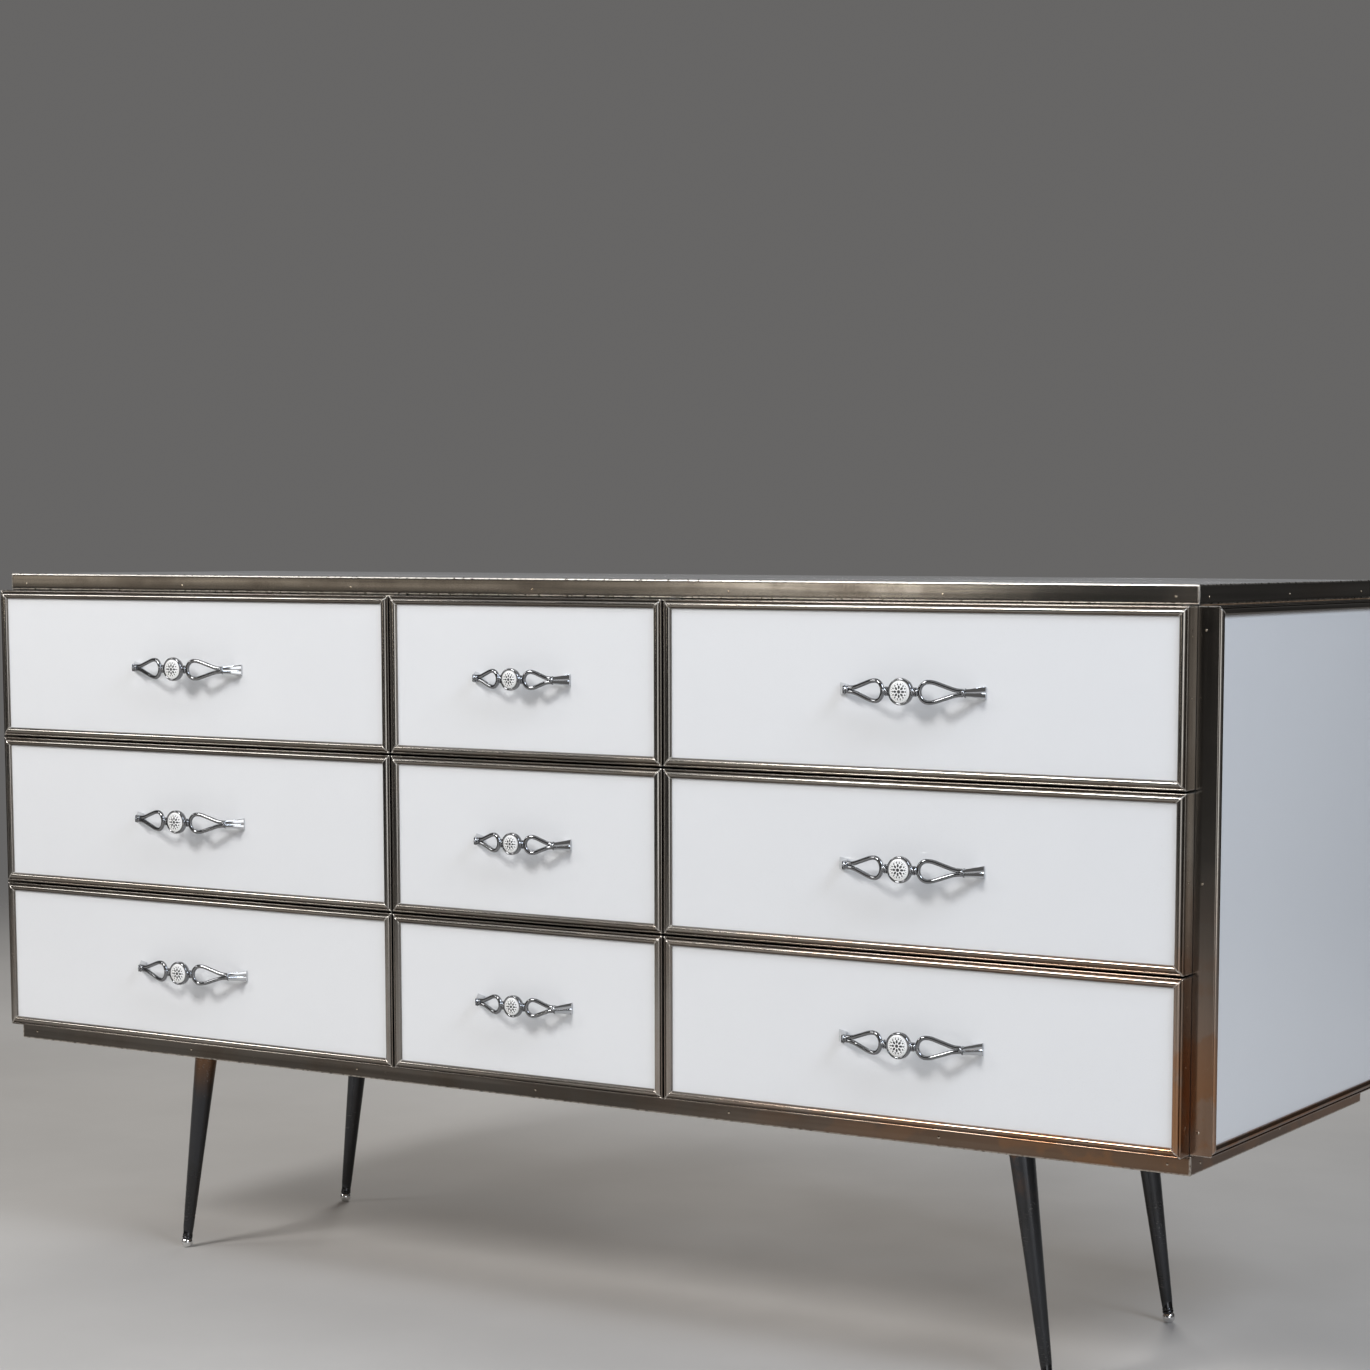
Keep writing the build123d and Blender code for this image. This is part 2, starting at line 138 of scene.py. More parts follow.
def placeGroup(tree, group, inputs):
    return addNode(tree, "ShaderNodeGroup", inputs, node_tree=group).outputs


def startMaterial(name):
    material = bpy.data.materials.new(name)
    material.use_nodes = True
    tree = material.node_tree
    place = addNode(tree, "ShaderNodeTexCoord").outputs["Object"]
    return material, tree, tree.nodes["Principled BSDF"], place


# studio: a plain grey room, darker in line with the flat metal's mirror image,
# so that the edging has dark to show
studio = {
    "walls": (0.135, 0.132, 0.13), "shade": (0.048, 0.047, 0.046), "shadeToward": (0.515, 0.857, 0.0),
    "shadeRange": (0.62, 0.92), "ceiling": (0.20, 0.20, 0.20), "ceilingRange": (0.45, 0.95),
    "floorColor": (0.55, 0.532, 0.51), "floorMottle": (0.50, 0.483, 0.462), "mottleNoise": (1.7, 5.0),
    "mottleRange": (0.3, 0.7), "floorRough": (0.62, 0.72), "floorRadius": 6.0, "floorCorners": 96,
    "floorFade": (2.6, 5.4),
}
world = bpy.data.worlds.new("studio")
scene.world = world
world.use_nodes = True
tree = world.node_tree
tree.nodes.clear()
direction = addNode(tree, "ShaderNodeTexCoord").outputs["Generated"]
height = addNode(tree, "ShaderNodeSeparateXYZ", {0: direction}).outputs[2]
toShade = {0: direction, 1: studio["shadeToward"]}
toShade = addNode(tree, "ShaderNodeVectorMath", toShade, operation="DOT_PRODUCT").outputs["Value"]
shaded = mapRange(tree, mathValue(tree, "ABSOLUTE", toShade), *studio["shadeRange"])
glow = mixColor(tree, shaded, studio["walls"], studio["shade"])
glow = mixColor(tree, mapRange(tree, height, *studio["ceilingRange"]), glow, studio["ceiling"])
background = nodeOut(tree, "ShaderNodeBackground", {"Color": glow, "Strength": 1.0})
addNode(tree, "ShaderNodeOutputWorld", {"Surface": background})


def makeFloor():
    corners, radius = studio["floorCorners"], studio["floorRadius"]
    turn = 2.0 * pi / corners
    ring = [(cos(i * turn) * radius, sin(i * turn) * radius, 0.0) for i in range(corners)]
    floorMesh = bpy.data.meshes.new("floor")
    floorMesh.from_pydata(ring, [], [list(range(corners))])
    floor = addObject("floor", floorMesh)
    paint, tree, shader, place = startMaterial("paleFloor")
    cloud = noiseValue(tree, place, *studio["mottleNoise"])
    mottled = mapRange(tree, cloud, *studio["mottleRange"])
    away = addNode(tree, "ShaderNodeVectorMath", {0: place}, operation="LENGTH").outputs["Value"]
    setInputs(tree, shader.inputs, {
        "Base Color": mixColor(tree, mottled, studio["floorColor"], studio["floorMottle"]),
        "Roughness": mapRange(tree, cloud, *studio["mottleRange"], *studio["floorRough"]),
        "Alpha": mapRange(tree, away, *studio["floorFade"], 1.0, 0.0),
    })
    floorMesh.materials.append(paint)


makeFloor()

# softboxes: place, aim, size, power and colour of each
softboxes = {
    "keyBox": ((-1.2, -3.15, 2.85), (0.0, -0.2, 0.6), (1.0, 1.0), 84.0, (1.0, 0.995, 0.99)),
    "leftBox": ((-3.5, -2.9, 2.6), (-0.2, -0.2, 0.6), (0.9, 0.9), 26.0, (1.0, 0.99, 0.98)),
    "topStrip": ((-0.3, -1.25, 2.7), (-0.3, -0.1, 0.7), (3.9, 0.5), 8.0, (1.0, 1.0, 1.0)),
    "sideFill": ((3.2, -1.25, 3.0), (0.8, -0.05, 0.65), (1.4, 1.4), 78.0, (0.78, 0.87, 1.0)),
    "lowCard": ((-1.25, -3.0, 0.88), (0.4, -0.24, 0.85), (0.55, 0.2), 0.9, (1.0, 0.93, 0.82)),
    "leftCard": ((-2.65, -3.0, 0.88), (-0.3, -0.24, 0.85), (1.8, 0.2), 0.9, (1.0, 0.88, 0.72)),
    "spotCard": ((-1.1, -2.97, 0.88), (0.46, -0.24, 0.85), (0.08, 0.2), 0.3, (1.0, 0.96, 0.88)),
    "rightCard": ((2.9, -2.75, 0.85), (0.3, -0.2, 0.6), (2.2, 1.6), 17.0, (0.96, 0.98, 1.0)),
    "backFill": ((-1.5, 3.3, 2.4), (0.0, 0.25, 0.5), (1.6, 1.6), 45.0, (1.0, 0.98, 0.95)),
}
for boxName, (place, aim, size, power, color) in softboxes.items():
    lamp = bpy.data.lights.new(boxName, "AREA")
    lamp.shape = "RECTANGLE"
    lamp.size, lamp.size_y = size
    lamp.energy = power
    lamp.color = color
    lampObject = addObject(boxName, lamp)
    turned = (Vector(aim) - Vector(place)).to_track_quat("-Z", "Y").to_matrix().to_4x4()
    lampObject.matrix_world = Matrix.Translation(place) @ turned
    lampObject.visible_camera = False
print("studio: floor and", len(softboxes), "softboxes")

# shared shader groups: a noise has scale and detail, a range where an effect starts and is full, a pair both
wearLook = {
    "patchDetail": (6.0, 0.62), "patchRange": (0.42, 0.68), "hairStretch": (0.06, 1.0, 1.0),
    "hairDetail": (1.0, 0.5), "hairRange": (0.60, 0.72), "gate": ((31.0, 2.0), (0.52, 0.66)),
    "pitScale": 420.0, "pitRange": (0.05, 0.22, 1.0, 0.0), "pitGate": ((55.0, 3.0), (0.62, 0.72)),
}
wearGroup, groupIn, groupOut = makeGroup(
    "polishWear",
    [("Vector", "Vector"), ("Patch Scale", "Float"), ("Scratch Scale", "Float")],
    [("Patches", "Float"), ("Scratches", "Float"), ("Specks", "Float")],
)
tree, place, look = wearGroup, groupIn["Vector"], wearLook
patchNoise = (groupIn["Patch Scale"], *look["patchDetail"])
hairNoise = (groupIn["Scratch Scale"], *look["hairDetail"])
hairs = noiseMask(tree, stretch(tree, place, look["hairStretch"]), hairNoise, look["hairRange"])
pits = {"Vector": place, "Scale": look["pitScale"]}
pits = addNode(tree, "ShaderNodeTexVoronoi", pits).outputs["Distance"]
pits = mapRange(tree, pits, *look["pitRange"])
setInputs(tree, groupOut, {
    "Patches": noiseMask(tree, place, patchNoise, look["patchRange"]),
    "Scratches": times(tree, hairs, noiseMask(tree, place, *look["gate"])),
    "Specks": times(tree, pits, noiseMask(tree, place, *look["pitGate"])),
})

grainLook = {
    "stretch": (0.08, 1.0, 1.0), "swayNoise": (9.0, 3.0), "swayShares": (0.0, 0.11, 0.11),
    "rings": {"Distortion": 3.0, "Detail": 3.0, "Detail Scale": 1.5}, "ringRange": (0.1, 0.9),
    "ringHeight": 0.4, "poreStretch": (0.05, 1.0, 1.0), "pores": ((520.0, 2.0), (0.56, 0.70)),
    "poreColor": (0.55, 0.5, 0.45),
}
grainGroup, groupIn, groupOut = makeGroup(
    "boardGrain",
    [("Vector", "Vector"), ("Light", "Color"), ("Dark", "Color"), ("Band Scale", "Float")],
    [("Color", "Color"), ("Height", "Float")],
)
tree, place, look = grainGroup, groupIn["Vector"], grainLook
along = stretch(tree, place, look["stretch"])
sway = noiseValue(tree, along, *look["swayNoise"])
sway = nodeOut(tree, "ShaderNodeCombineXYZ", {0: 0.0, 1: sway, 2: sway})
bent = {0: sway, 1: look["swayShares"], 2: along}
bent = nodeOut(tree, "ShaderNodeVectorMath", bent, operation="MULTIPLY_ADD")
rings = {"Vector": bent, "Scale": groupIn["Band Scale"], **look["rings"]}
rings = addNode(tree, "ShaderNodeTexWave", rings, bands_direction="Y").outputs["Fac"]
pores = noiseMask(tree, stretch(tree, place, look["poreStretch"]), *look["pores"])
tone = mapRange(tree, rings, *look["ringRange"])
tone = mixColor(tree, tone, groupIn["Light"], groupIn["Dark"])
poreTone = mixColor(tree, 1.0, tone, look["poreColor"], "MULTIPLY")
setInputs(tree, groupOut, {
    "Color": mixColor(tree, pores, tone, poreTone),
    "Height": mathValue(tree, "SUBTRACT", times(tree, rings, look["ringHeight"]), pores),
})

smudgeLook = {
    "wipeStretch": (0.35, 1.0, 1.0), "wipeDetail": (5.0, 0.6), "wipeRange": (0.45, 0.72),
    "dust": ((900.0, 2.0), (0.58, 0.75)), "dustPatch": ((6.0, 4.0), (0.4, 0.7)),
}
smudgeGroup, groupIn, groupOut = makeGroup(
    "handSmudges", [("Vector", "Vector"), ("Scale", "Float")], [("Smudge", "Float"), ("Dust", "Float")])
tree, place, look = smudgeGroup, groupIn["Vector"], smudgeLook
wipeNoise = (groupIn["Scale"], *look["wipeDetail"])
wiped = stretch(tree, place, look["wipeStretch"])
dust = noiseMask(tree, place, *look["dust"])
setInputs(tree, groupOut, {
    "Smudge": noiseMask(tree, wiped, wipeNoise, look["wipeRange"]),
    "Dust": times(tree, dust, noiseMask(tree, place, *look["dustPatch"])),
})


# materials
def meshValue(tree, label, output="Fac"):
    return addNode(tree, "ShaderNodeAttribute", attribute_name=label).outputs[output]


def bumped(tree, height, strength, distance):
    return nodeOut(tree, "ShaderNodeBump", {"Height": height, "Strength": strength, "Distance": distance})


# in metalLook the stain entries shape a painted warm reflection, the rubbed entries a painted highlight, and
# the grime colour darkens painted shade
metalLook = {
    "scratchScale": 600.0, "reflectionPatches": ((13.0, 5.0), (0.44, 0.52)), "patchShare": 0.5, "patchDull": 0.6,
    "markShare": 0.4, "markDull": 0.12, "markBump": (0.04, 0.0001), "stripScratch": 0.08,
    "streakStretch": (1.6, 85.0, 1.0), "streaks": ((1.0, 2.0), (0.34, 0.64, 0.72, 1.22)),
    "warmReflectionHeight": (0.62, 0.30), "warmReflectionAcross": (0.05, 0.85, 0.04, 0.95),
    "warmReflectionPatchy": (0.0, 1.0, 0.6, 1.0), "shadeAndGrimeColor": (0.30, 0.26, 0.22),
    "highlighted": ((160.0, 4.0), (0.3, 0.55)), "highlightDull": 0.35, "legHeight": (0.19, 0.26),
}


def metalMaterial(
        name, clean, tarnish, wearAndHighlight, rough, patchScale=14.0, onStrip=False, warmReflection=None, highlightColor=None):
    look = metalLook
    material, tree, shader, place = startMaterial(name)
    axes = addNode(tree, "ShaderNodeSeparateXYZ", {0: place}).outputs
    reflectionPatches = noiseMask(tree, place, *look["reflectionPatches"])
    paintedHighlight = meshValue(tree, "paintedHighlight")
    if onStrip:
        place = meshValue(tree, "stripCoord", "Vector")
    wear = {"Vector": place, "Patch Scale": patchScale, "Scratch Scale": look["scratchScale"]}
    wear = placeGroup(tree, wearGroup, wear)
    color = mixColor(tree, times(tree, wear["Patches"], look["patchShare"]), clean, tarnish)
    scratches = wear["Scratches"]
    if onStrip:
        scratches = times(tree, scratches, look["stripScratch"])
    marks = mathValue(tree, "MAXIMUM", scratches, wear["Specks"])
    dull = times(tree, wear["Patches"], rough * look["patchDull"])
    dull = mathValue(tree, "ADD", times(tree, marks, look["markDull"]), dull)
    if onStrip:
        # lighter and darker lengthwise streaks, a painted warm reflection low on the right, painted shade
        # with some grime in the hollows and on faces that look down, painted highlights on the corners and
        # edges
        streaks = noiseMask(tree, stretch(tree, place, look["streakStretch"]), *look["streaks"])
        streaks = nodeOut(tree, "ShaderNodeCombineColor", {0: streaks, 1: streaks, 2: streaks})
        color = mixColor(tree, 1.0, color, streaks, "MULTIPLY")
        warmReflected = mapRange(tree, axes[0], *look["warmReflectionAcross"])
        warmReflected = times(tree, mapRange(tree, axes[2], *look["warmReflectionHeight"]), warmReflected)
        warmReflected = times(tree, warmReflected, mapRange(tree, reflectionPatches, *look["warmReflectionPatchy"]))
        color = mixColor(tree, warmReflected, color, warmReflection)
        darkened = mixColor(tree, 1.0, color, look["shadeAndGrimeColor"], "MULTIPLY")
        color = mixColor(tree, meshValue(tree, "shadeAndGrime"), color, darkened)
        highlighted = times(tree, paintedHighlight, noiseMask(tree, place, *look["highlighted"]))
        color = mixColor(tree, highlighted, color, wearAndHighlight)
        dull = mathValue(tree, "ADD", times(tree, highlighted, look["highlightDull"]), dull)
    elif warmReflection:  # painted warm reflection near the top of the legs
        high = mapRange(tree, axes[2], *look["legHeight"])
        color = mixColor(tree, times(tree, high, reflectionPatches), color, warmReflection)
    # painted highlight: marked parts take the lighter highlight colour
    if highlightColor:
        color = mixColor(tree, paintedHighlight, color, highlightColor)
    setInputs(tree, shader.inputs, {
        "Metallic": 1.0,
        "Base Color": mixColor(tree, times(tree, marks, look["markShare"]), color, wearAndHighlight),
        "Roughness": mathValue(tree, "ADD", dull, rough),
        "Normal": bumped(tree, marks, *look["markBump"]),
    })
    return material


glassLook = {
    "smudgeScale": 7.0, "smudgeDull": 0.07, "cloud": ((2.4, 3.0), (0.35, 0.7)), "cloudShare": 0.5,
    "dustColor": (0.55, 0.53, 0.5), "dustShare": 0.2, "dustDull": 0.3,
}


def glassMaterial(name, color, shade, rough):
    look = glassLook
    material, tree, shader, place = startMaterial(name)
    marks = placeGroup(tree, smudgeGroup, {"Vector": place, "Scale": look["smudgeScale"]})
    cloud = times(tree, noiseMask(tree, place, *look["cloud"]), look["cloudShare"])
    dusty = times(tree, marks["Dust"], look["dustShare"])
    dull = times(tree, marks["Smudge"], look["smudgeDull"])
    dull = mathValue(tree, "ADD", times(tree, marks["Dust"], look["dustDull"]), dull)
    setInputs(tree, shader.inputs, {
        "Base Color": mixColor(tree, dusty, mixColor(tree, cloud, color, shade), look["dustColor"]),
        "Roughness": mathValue(tree, "ADD", dull, rough),
    })
    return material


woodLook = {
    "sideways": 0.5, "gapShadeFrom": (-0.206, -0.211), "gapShadeColor": (0.012, 0.011, 0.010),
    "sheenNoise": (18.0, 3.0), "sheenRange": (0.3, 0.7), "sheenLess": 0.08, "sheenMore": 0.1,
    "grainBump": (0.2, 0.0004),
}


def woodMaterial(name, light, dark, bandScale, rough, turn=(0.0, 0.0, 0.0), bySide=False, gapShadeFront=False):
    look = woodLook
    material, tree, shader, place = startMaterial(name)
    axes = addNode(tree, "ShaderNodeSeparateXYZ", {0: place}).outputs
    if bySide:  # boards that face left or right have their grain from front to back
        facing = addNode(tree, "ShaderNodeTexCoord").outputs["Normal"]
        facing = nodeOut(tree, "ShaderNodeSeparateXYZ", {0: facing})
        sideways = mathValue(tree, "GREATER_THAN", mathValue(tree, "ABSOLUTE", facing), look["sideways"])
        swapped = nodeOut(tree, "ShaderNodeCombineXYZ", {0: axes[1], 1: axes[2], 2: axes[0]})
        plain = nodeOut(tree, "ShaderNodeCombineXYZ", {0: axes[0], 1: axes[2], 2: axes[1]})
        places = {0: sideways, 4: plain, 5: swapped}
        place = addNode(tree, "ShaderNodeMix", places, data_type="VECTOR").outputs[1]
    else:
        place = nodeOut(tree, "ShaderNodeMapping", {"Vector": place, "Rotation": turn})
    grain = {"Vector": place, "Light": light, "Dark": dark, "Band Scale": bandScale}
    grain = placeGroup(tree, grainGroup, grain)
    color = grain["Color"]
    if gapShadeFront:  # painted shade: the front edges are drawn black, so that the gaps between the drawers stay dark
        color = mixColor(tree, mapRange(tree, axes[1], *look["gapShadeFrom"]), color, look["gapShadeColor"])
    sheen = (*look["sheenRange"], rough - look["sheenLess"], rough + look["sheenMore"])
    setInputs(tree, shader.inputs, {
        "Base Color": color,
        "Roughness": noiseMask(tree, place, look["sheenNoise"], sheen),
        "Normal": bumped(tree, grain["Height"], *look["grainBump"]),
    })
    return material


# the amber colour passed to the edging, the low band and the legs is a painted warm reflection
trimMetal = metalMaterial(
    "polishedEdging", (0.33, 0.31, 0.285), (0.24, 0.195, 0.155), (0.88, 0.84, 0.78), 0.15,
    patchScale=7.0, onStrip=True, warmReflection=(0.38, 0.185, 0.085))
# painted shade: a darker copy of the edging metal for the bottom band, standing in for its dark reflections
shadedLowBandMetal = metalMaterial(
    "shadedLowBandMetal", (0.10, 0.092, 0.082), (0.08, 0.06, 0.043), (0.70, 0.64, 0.56), 0.12,
    patchScale=7.0, onStrip=True, warmReflection=(0.24, 0.13, 0.07))
nailMetal = metalMaterial("nailHeads", (0.52, 0.45, 0.36), (0.34, 0.26, 0.18), (0.66, 0.60, 0.50), 0.18)
# the last colour is a painted highlight for the pull feet
pullMetal = metalMaterial(
    "pullChrome", (0.27, 0.275, 0.285), (0.21, 0.21, 0.21), (0.8, 0.8, 0.8), 0.05,
    highlightColor=(0.62, 0.625, 0.635))
# painted shade: the legs' base colour is darkened far below polished steel, standing in for their dark
# reflections
legMetal = metalMaterial(
    "legSteelPaintedDark", (0.062, 0.063, 0.067), (0.05, 0.047, 0.044), (0.26, 0.25, 0.24), 0.18,
    warmReflection=(0.17, 0.095, 0.055))
glideMetal = metalMaterial("glideChrome", (0.80, 0.80, 0.80), (0.6, 0.59, 0.58), (0.9, 0.9, 0.9), 0.08)
zincSteel = metalMaterial("zincSteel", (0.52, 0.52, 0.53), (0.38, 0.38, 0.37), (0.7, 0.7, 0.7), 0.34)
whiteGlass = glassMaterial("whiteGlass", (0.79, 0.797, 0.812), (0.77, 0.777, 0.795), 0.045)
discEnamel = glassMaterial("discEnamel", (0.92, 0.918, 0.91), (0.87, 0.865, 0.85), 0.12)
rosetteEnamel = glassMaterial("rosetteEnamel", (0.035, 0.035, 0.038), (0.07, 0.07, 0.07), 0.3)
caseLight, caseDark = (0.30, 0.20, 0.125), (0.19, 0.12, 0.07)
caseAcross = woodMaterial("caseWoodAcross", caseLight, caseDark, 14.0, 0.45, gapShadeFront=True)
caseUp = woodMaterial(
    "caseWoodUp", caseLight, caseDark, 14.0, 0.45, turn=(0.0, quarter, 0.0), gapShadeFront=True)
backWood = woodMaterial("backPly", (0.46, 0.33, 0.21), (0.34, 0.23, 0.14), 8.0, 0.55)
drawerWood = woodMaterial("drawerBeech", (0.62, 0.46, 0.30), (0.52, 0.36, 0.22), 17.0, 0.42, bySide=True)
runnerWood = woodMaterial(
    "waxedRunner", (0.50, 0.33, 0.19), (0.38, 0.24, 0.13), 22.0, 0.34, turn=(0.0, 0.0, quarter))
print("materials:", len(bpy.data.materials))

# the CAD nodes that stay get their finish here
nodeFinish = {
    "top_board": caseAcross, "bottom_board": caseAcross, "partitions": caseUp, "back_panel": backWood,
    "runners": runnerWood, "leg_plates": zincSteel, "wood_screws": zincSteel, "top_glass": whiteGlass,
}
for sideName in ("left", "right"):
    nodeFinish[f"{sideName}_side_board"] = caseUp
    nodeFinish[f"{sideName}_panel_board"] = caseUp
    nodeFinish[f"{sideName}_panel_glass"] = whiteGlass
for drawerName in drawerNames:
    nodeFinish[f"{drawerName}_box"] = drawerWood
    nodeFinish[f"{drawerName}_glass"] = whiteGlass
for nodeName, finish in nodeFinish.items():
    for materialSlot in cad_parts[nodeName].material_slots:
        materialSlot.material = finish
print("CAD nodes finished:", len(nodeFinish))


# mesh helpers
xAxis, yAxis, zAxis = Vector((1, 0, 0)), Vector((0, 1, 0)), Vector((0, 0, 1))


def startMesh():
    bm = bmesh.new()
    layers = {
        "stripCoord": bm.verts.layers.float_vector.new("stripCoord"),
        "paintedHighlight": bm.verts.layers.float.new("paintedHighlight"),
        "shadeAndGrime": bm.verts.layers.float.new("shadeAndGrime"),
    }
    return bm, layers


def loft(bm, rings):
    # closed rings of the same count, skinned one to the next and capped at both ends
    grid = [[bm.verts.new(point) for point in ring] for ring in rings]
    count = len(rings[0])
    for first, second in zip(grid, grid[1:]):
        for i in range(count):
            k = (i + 1) % count
            bm.faces.new((first[i], first[k], second[k], second[i]))
    bm.faces.new(grid[0][::-1])
    bm.faces.new(grid[-1])
    return grid


def circleRing(center, first, second, radius, steps):
    turn = 2.0 * pi / steps
    points = []
    for i in range(steps):
        spoke = first * cos(i * turn) + second * sin(i * turn)
        points.append(center + spoke * radius)
    return points


def arcThrough(start, middle, end, steps):
    # points of the circle through three points, the last one left out
    (ax, ay), (bx, by), (cx, cy) = start, middle, end
    span = 2.0 * (ax * (by - cy) + bx * (cy - ay) + cx * (ay - by))
    a, b, c = ax * ax + ay * ay, bx * bx + by * by, cx * cx + cy * cy
    ox = (a * (by - cy) + b * (cy - ay) + c * (ay - by)) / span
    oy = (a * (cx - bx) + b * (ax - cx) + c * (bx - ax)) / span
    radius = hypot(ax - ox, ay - oy)
    first, mid, last = (atan2(y - oy, x - ox) for x, y in (start, middle, end))
    full = 2.0 * pi
    sweep = (last - first) % full
    if (mid - first) % full > sweep:
        sweep -= full
    angles = [first + sweep * i / steps for i in range(steps)]
    return [(ox + radius * cos(t), oy + radius * sin(t)) for t in angles]


def finishMesh(bm, name, material, sharp=32.0):
    bmesh.ops.recalc_face_normals(bm, faces=bm.faces)
    for face in bm.faces:
        face.material_index = 0
    mesh = bpy.data.meshes.new(name)
    bm.to_mesh(mesh)
    bm.free()
    mesh.shade_smooth()
    mesh.set_sharp_from_angle(angle=radians(sharp))
    mesh.materials.append(material)
    return mesh


def addPiece(name, mesh, body, replaced=()):
    piece = addObject(name, mesh)
    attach(piece, body)
    if replaced:
        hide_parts(*replaced)


# mitred edge moulding: a main bead towards the glass, a valley, a small outer bead and a flange over the edge
moulding = {
    "width": 0.0104, "lip": 0.0008, "crest": (0.00437, 0.0042), "valley": (0.0079, 0.0014),
    "bead": (0.00915, 0.0023), "edge": 0.0012, "flange": 0.0012, "arcSteps": 14, "mitreEase": 0.0006,
    "mitreDrop": 0.0003, "mitreHighlight": (0.6, 0.45), "cornerEase": 0.0008, "highlightReach": 0.0018,
    "valleyDark": 0.0011, "outerBeadDark": 0.45, "lipShadow": (0.35, 0.0025), "downShade": 1.6,
    "flangeDark": 0.35, "sideShift": 2.3, "seedShift": 1.7, "panelSeed": 20,
}


def mouldingProfile(depth):
    width, edge, valley = moulding["width"], moulding["edge"], moulding["valley"]
    steps, inner = moulding["arcSteps"], width - moulding["flange"]
    points = arcThrough((0.0, moulding["lip"]), moulding["crest"], valley, steps)
    points += arcThrough(valley, moulding["bead"], (width, edge), steps // 2)
    return points + [(width, edge), (width, -depth), (inner, -depth), (inner, 0.0), (0.0, 0.0)]


def mouldingShadeAndGrime(u, v, down):
    # painted shade with some grime: darker in the valley and on the outer bead, a painted shadow where the
    # lip meets the glass, and painted shade on faces that look down
    valleyU, valleyV = moulding["valley"]
    hollow = 1.0 - hypot(u - valleyU, v - valleyV) / moulding["valleyDark"]
    outer = moulding["outerBeadDark"] if u > valleyU else 0.0
    lipMost, lipReach = moulding["lipShadow"]
    return max(outer, hollow, lipMost - abs(u) / lipReach, min(1.0, max(0.0, down) * moulding["downShade"]))


def mitredFrame(name, center, across, up, out, halfAcross, halfUp, depth, seed):
    bm, layers = startMesh()
    profile = mouldingProfile(depth)
    width, cornerEase = moulding["width"], moulding["cornerEase"]
    shown = len(profile) - 5  # the last five points are the flange and the back
    # the mitre ends get a painted highlight, fullest at the tip
    tipHighlight, easedHighlight = moulding["mitreHighlight"]
    backs = ((0.0, 1.0, tipHighlight), (moulding["mitreEase"], 0.0, easedHighlight), (moulding["highlightReach"], 0.0, 0.0))
    stations = [(-1, *back) for back in backs] + [(1, *back) for back in backs[::-1]]
    sides = ((up, across, halfUp, halfAcross), (-up, across, halfUp, halfAcross),
             (across, up, halfAcross, halfUp), (-across, up, halfAcross, halfUp))
    for sideIndex, (reach, run, reachLength, runLength) in enumerate(sides):
        rings = []
        for end, back, eased, paintedHighlight in stations:
            ring = []
            for i, (u, v) in enumerate(profile):
                length = runLength - (width - u) - back
                far, rise = reachLength - width + u, v
                if i < shown:
                    rise -= eased * moulding["mitreDrop"]
                elif u == width:  # the flange's corner is chamfered, half by each strip
                    length = min(length, runLength - cornerEase) + eased * cornerEase / 2
                    far -= eased * cornerEase / 2
                ring.append(center + reach * far + out * rise + run * (end * length))
            rings.append(ring)
        grid = loft(bm, rings)
        for (end, back, eased, paintedHighlight), ring in zip(stations, grid):
            travel = 0.0
            for i, vert in enumerate(ring):
                u, v = profile[i]
                if i:
                    travel += hypot(u - profile[i - 1][0], v - profile[i - 1][1])
                along = end * (runLength - (width - u) - back)
                before, after = profile[max(i - 1, 0)], profile[min(i + 1, shown - 1)]
                tilt = atan2(before[1] - after[1], after[0] - before[0])
                down = -reach.z * sin(tilt)
                along += moulding["sideShift"] * sideIndex
                vert[layers["stripCoord"]] = (along, travel, moulding["seedShift"] * seed)
                vert[layers["paintedHighlight"]] = paintedHighlight
                vert[layers["shadeAndGrime"]] = mouldingShadeAndGrime(u, v, down) if v > 0.0 else moulding["flangeDark"]
    return finishMesh(bm, name, trimMetal)


def drawerFront(drawerName):
    # the box of the front's edging, and the middle of its glass
    low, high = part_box(f"{drawerName}_frame")
    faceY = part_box(f"{drawerName}_glass")[0].y
    return low, high, Vector(((low.x + high.x) / 2, faceY, (low.z + high.z) / 2))


for seed, drawerName in enumerate(drawerNames):
    low, high, center = drawerFront(drawerName)
    pieceName = f"{drawerName}_moulding"
    frameMesh = mitredFrame(
        pieceName, center, xAxis, zAxis, -yAxis, (high.x - low.x) / 2, (high.z - low.z) / 2,
        high.y - center.y, seed)
    addPiece(pieceName, frameMesh, f"{drawerName}_drawer", [f"{drawerName}_frame"])
for sign, sideName in ((-1, "left"), (1, "right")):
    low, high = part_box(f"{sideName}_panel_frame")
    glassLow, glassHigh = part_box(f"{sideName}_panel_glass")
    faceX = glassHigh.x if sign > 0 else glassLow.x
    depth = abs(faceX - (low.x if sign > 0 else high.x))
    center = Vector((faceX, (low.y + high.y) / 2, (low.z + high.z) / 2))
    pieceName = f"{sideName}_panel_moulding"
    frameMesh = mitredFrame(
        pieceName, center, yAxis, zAxis, xAxis * sign, (high.y - low.y) / 2, (high.z - low.z) / 2, depth,
        moulding["panelSeed"] + sign)
    addPiece(pieceName, frameMesh, "chest", [f"{sideName}_panel_frame"])
print("mouldings:", len(drawerNames) + 2)

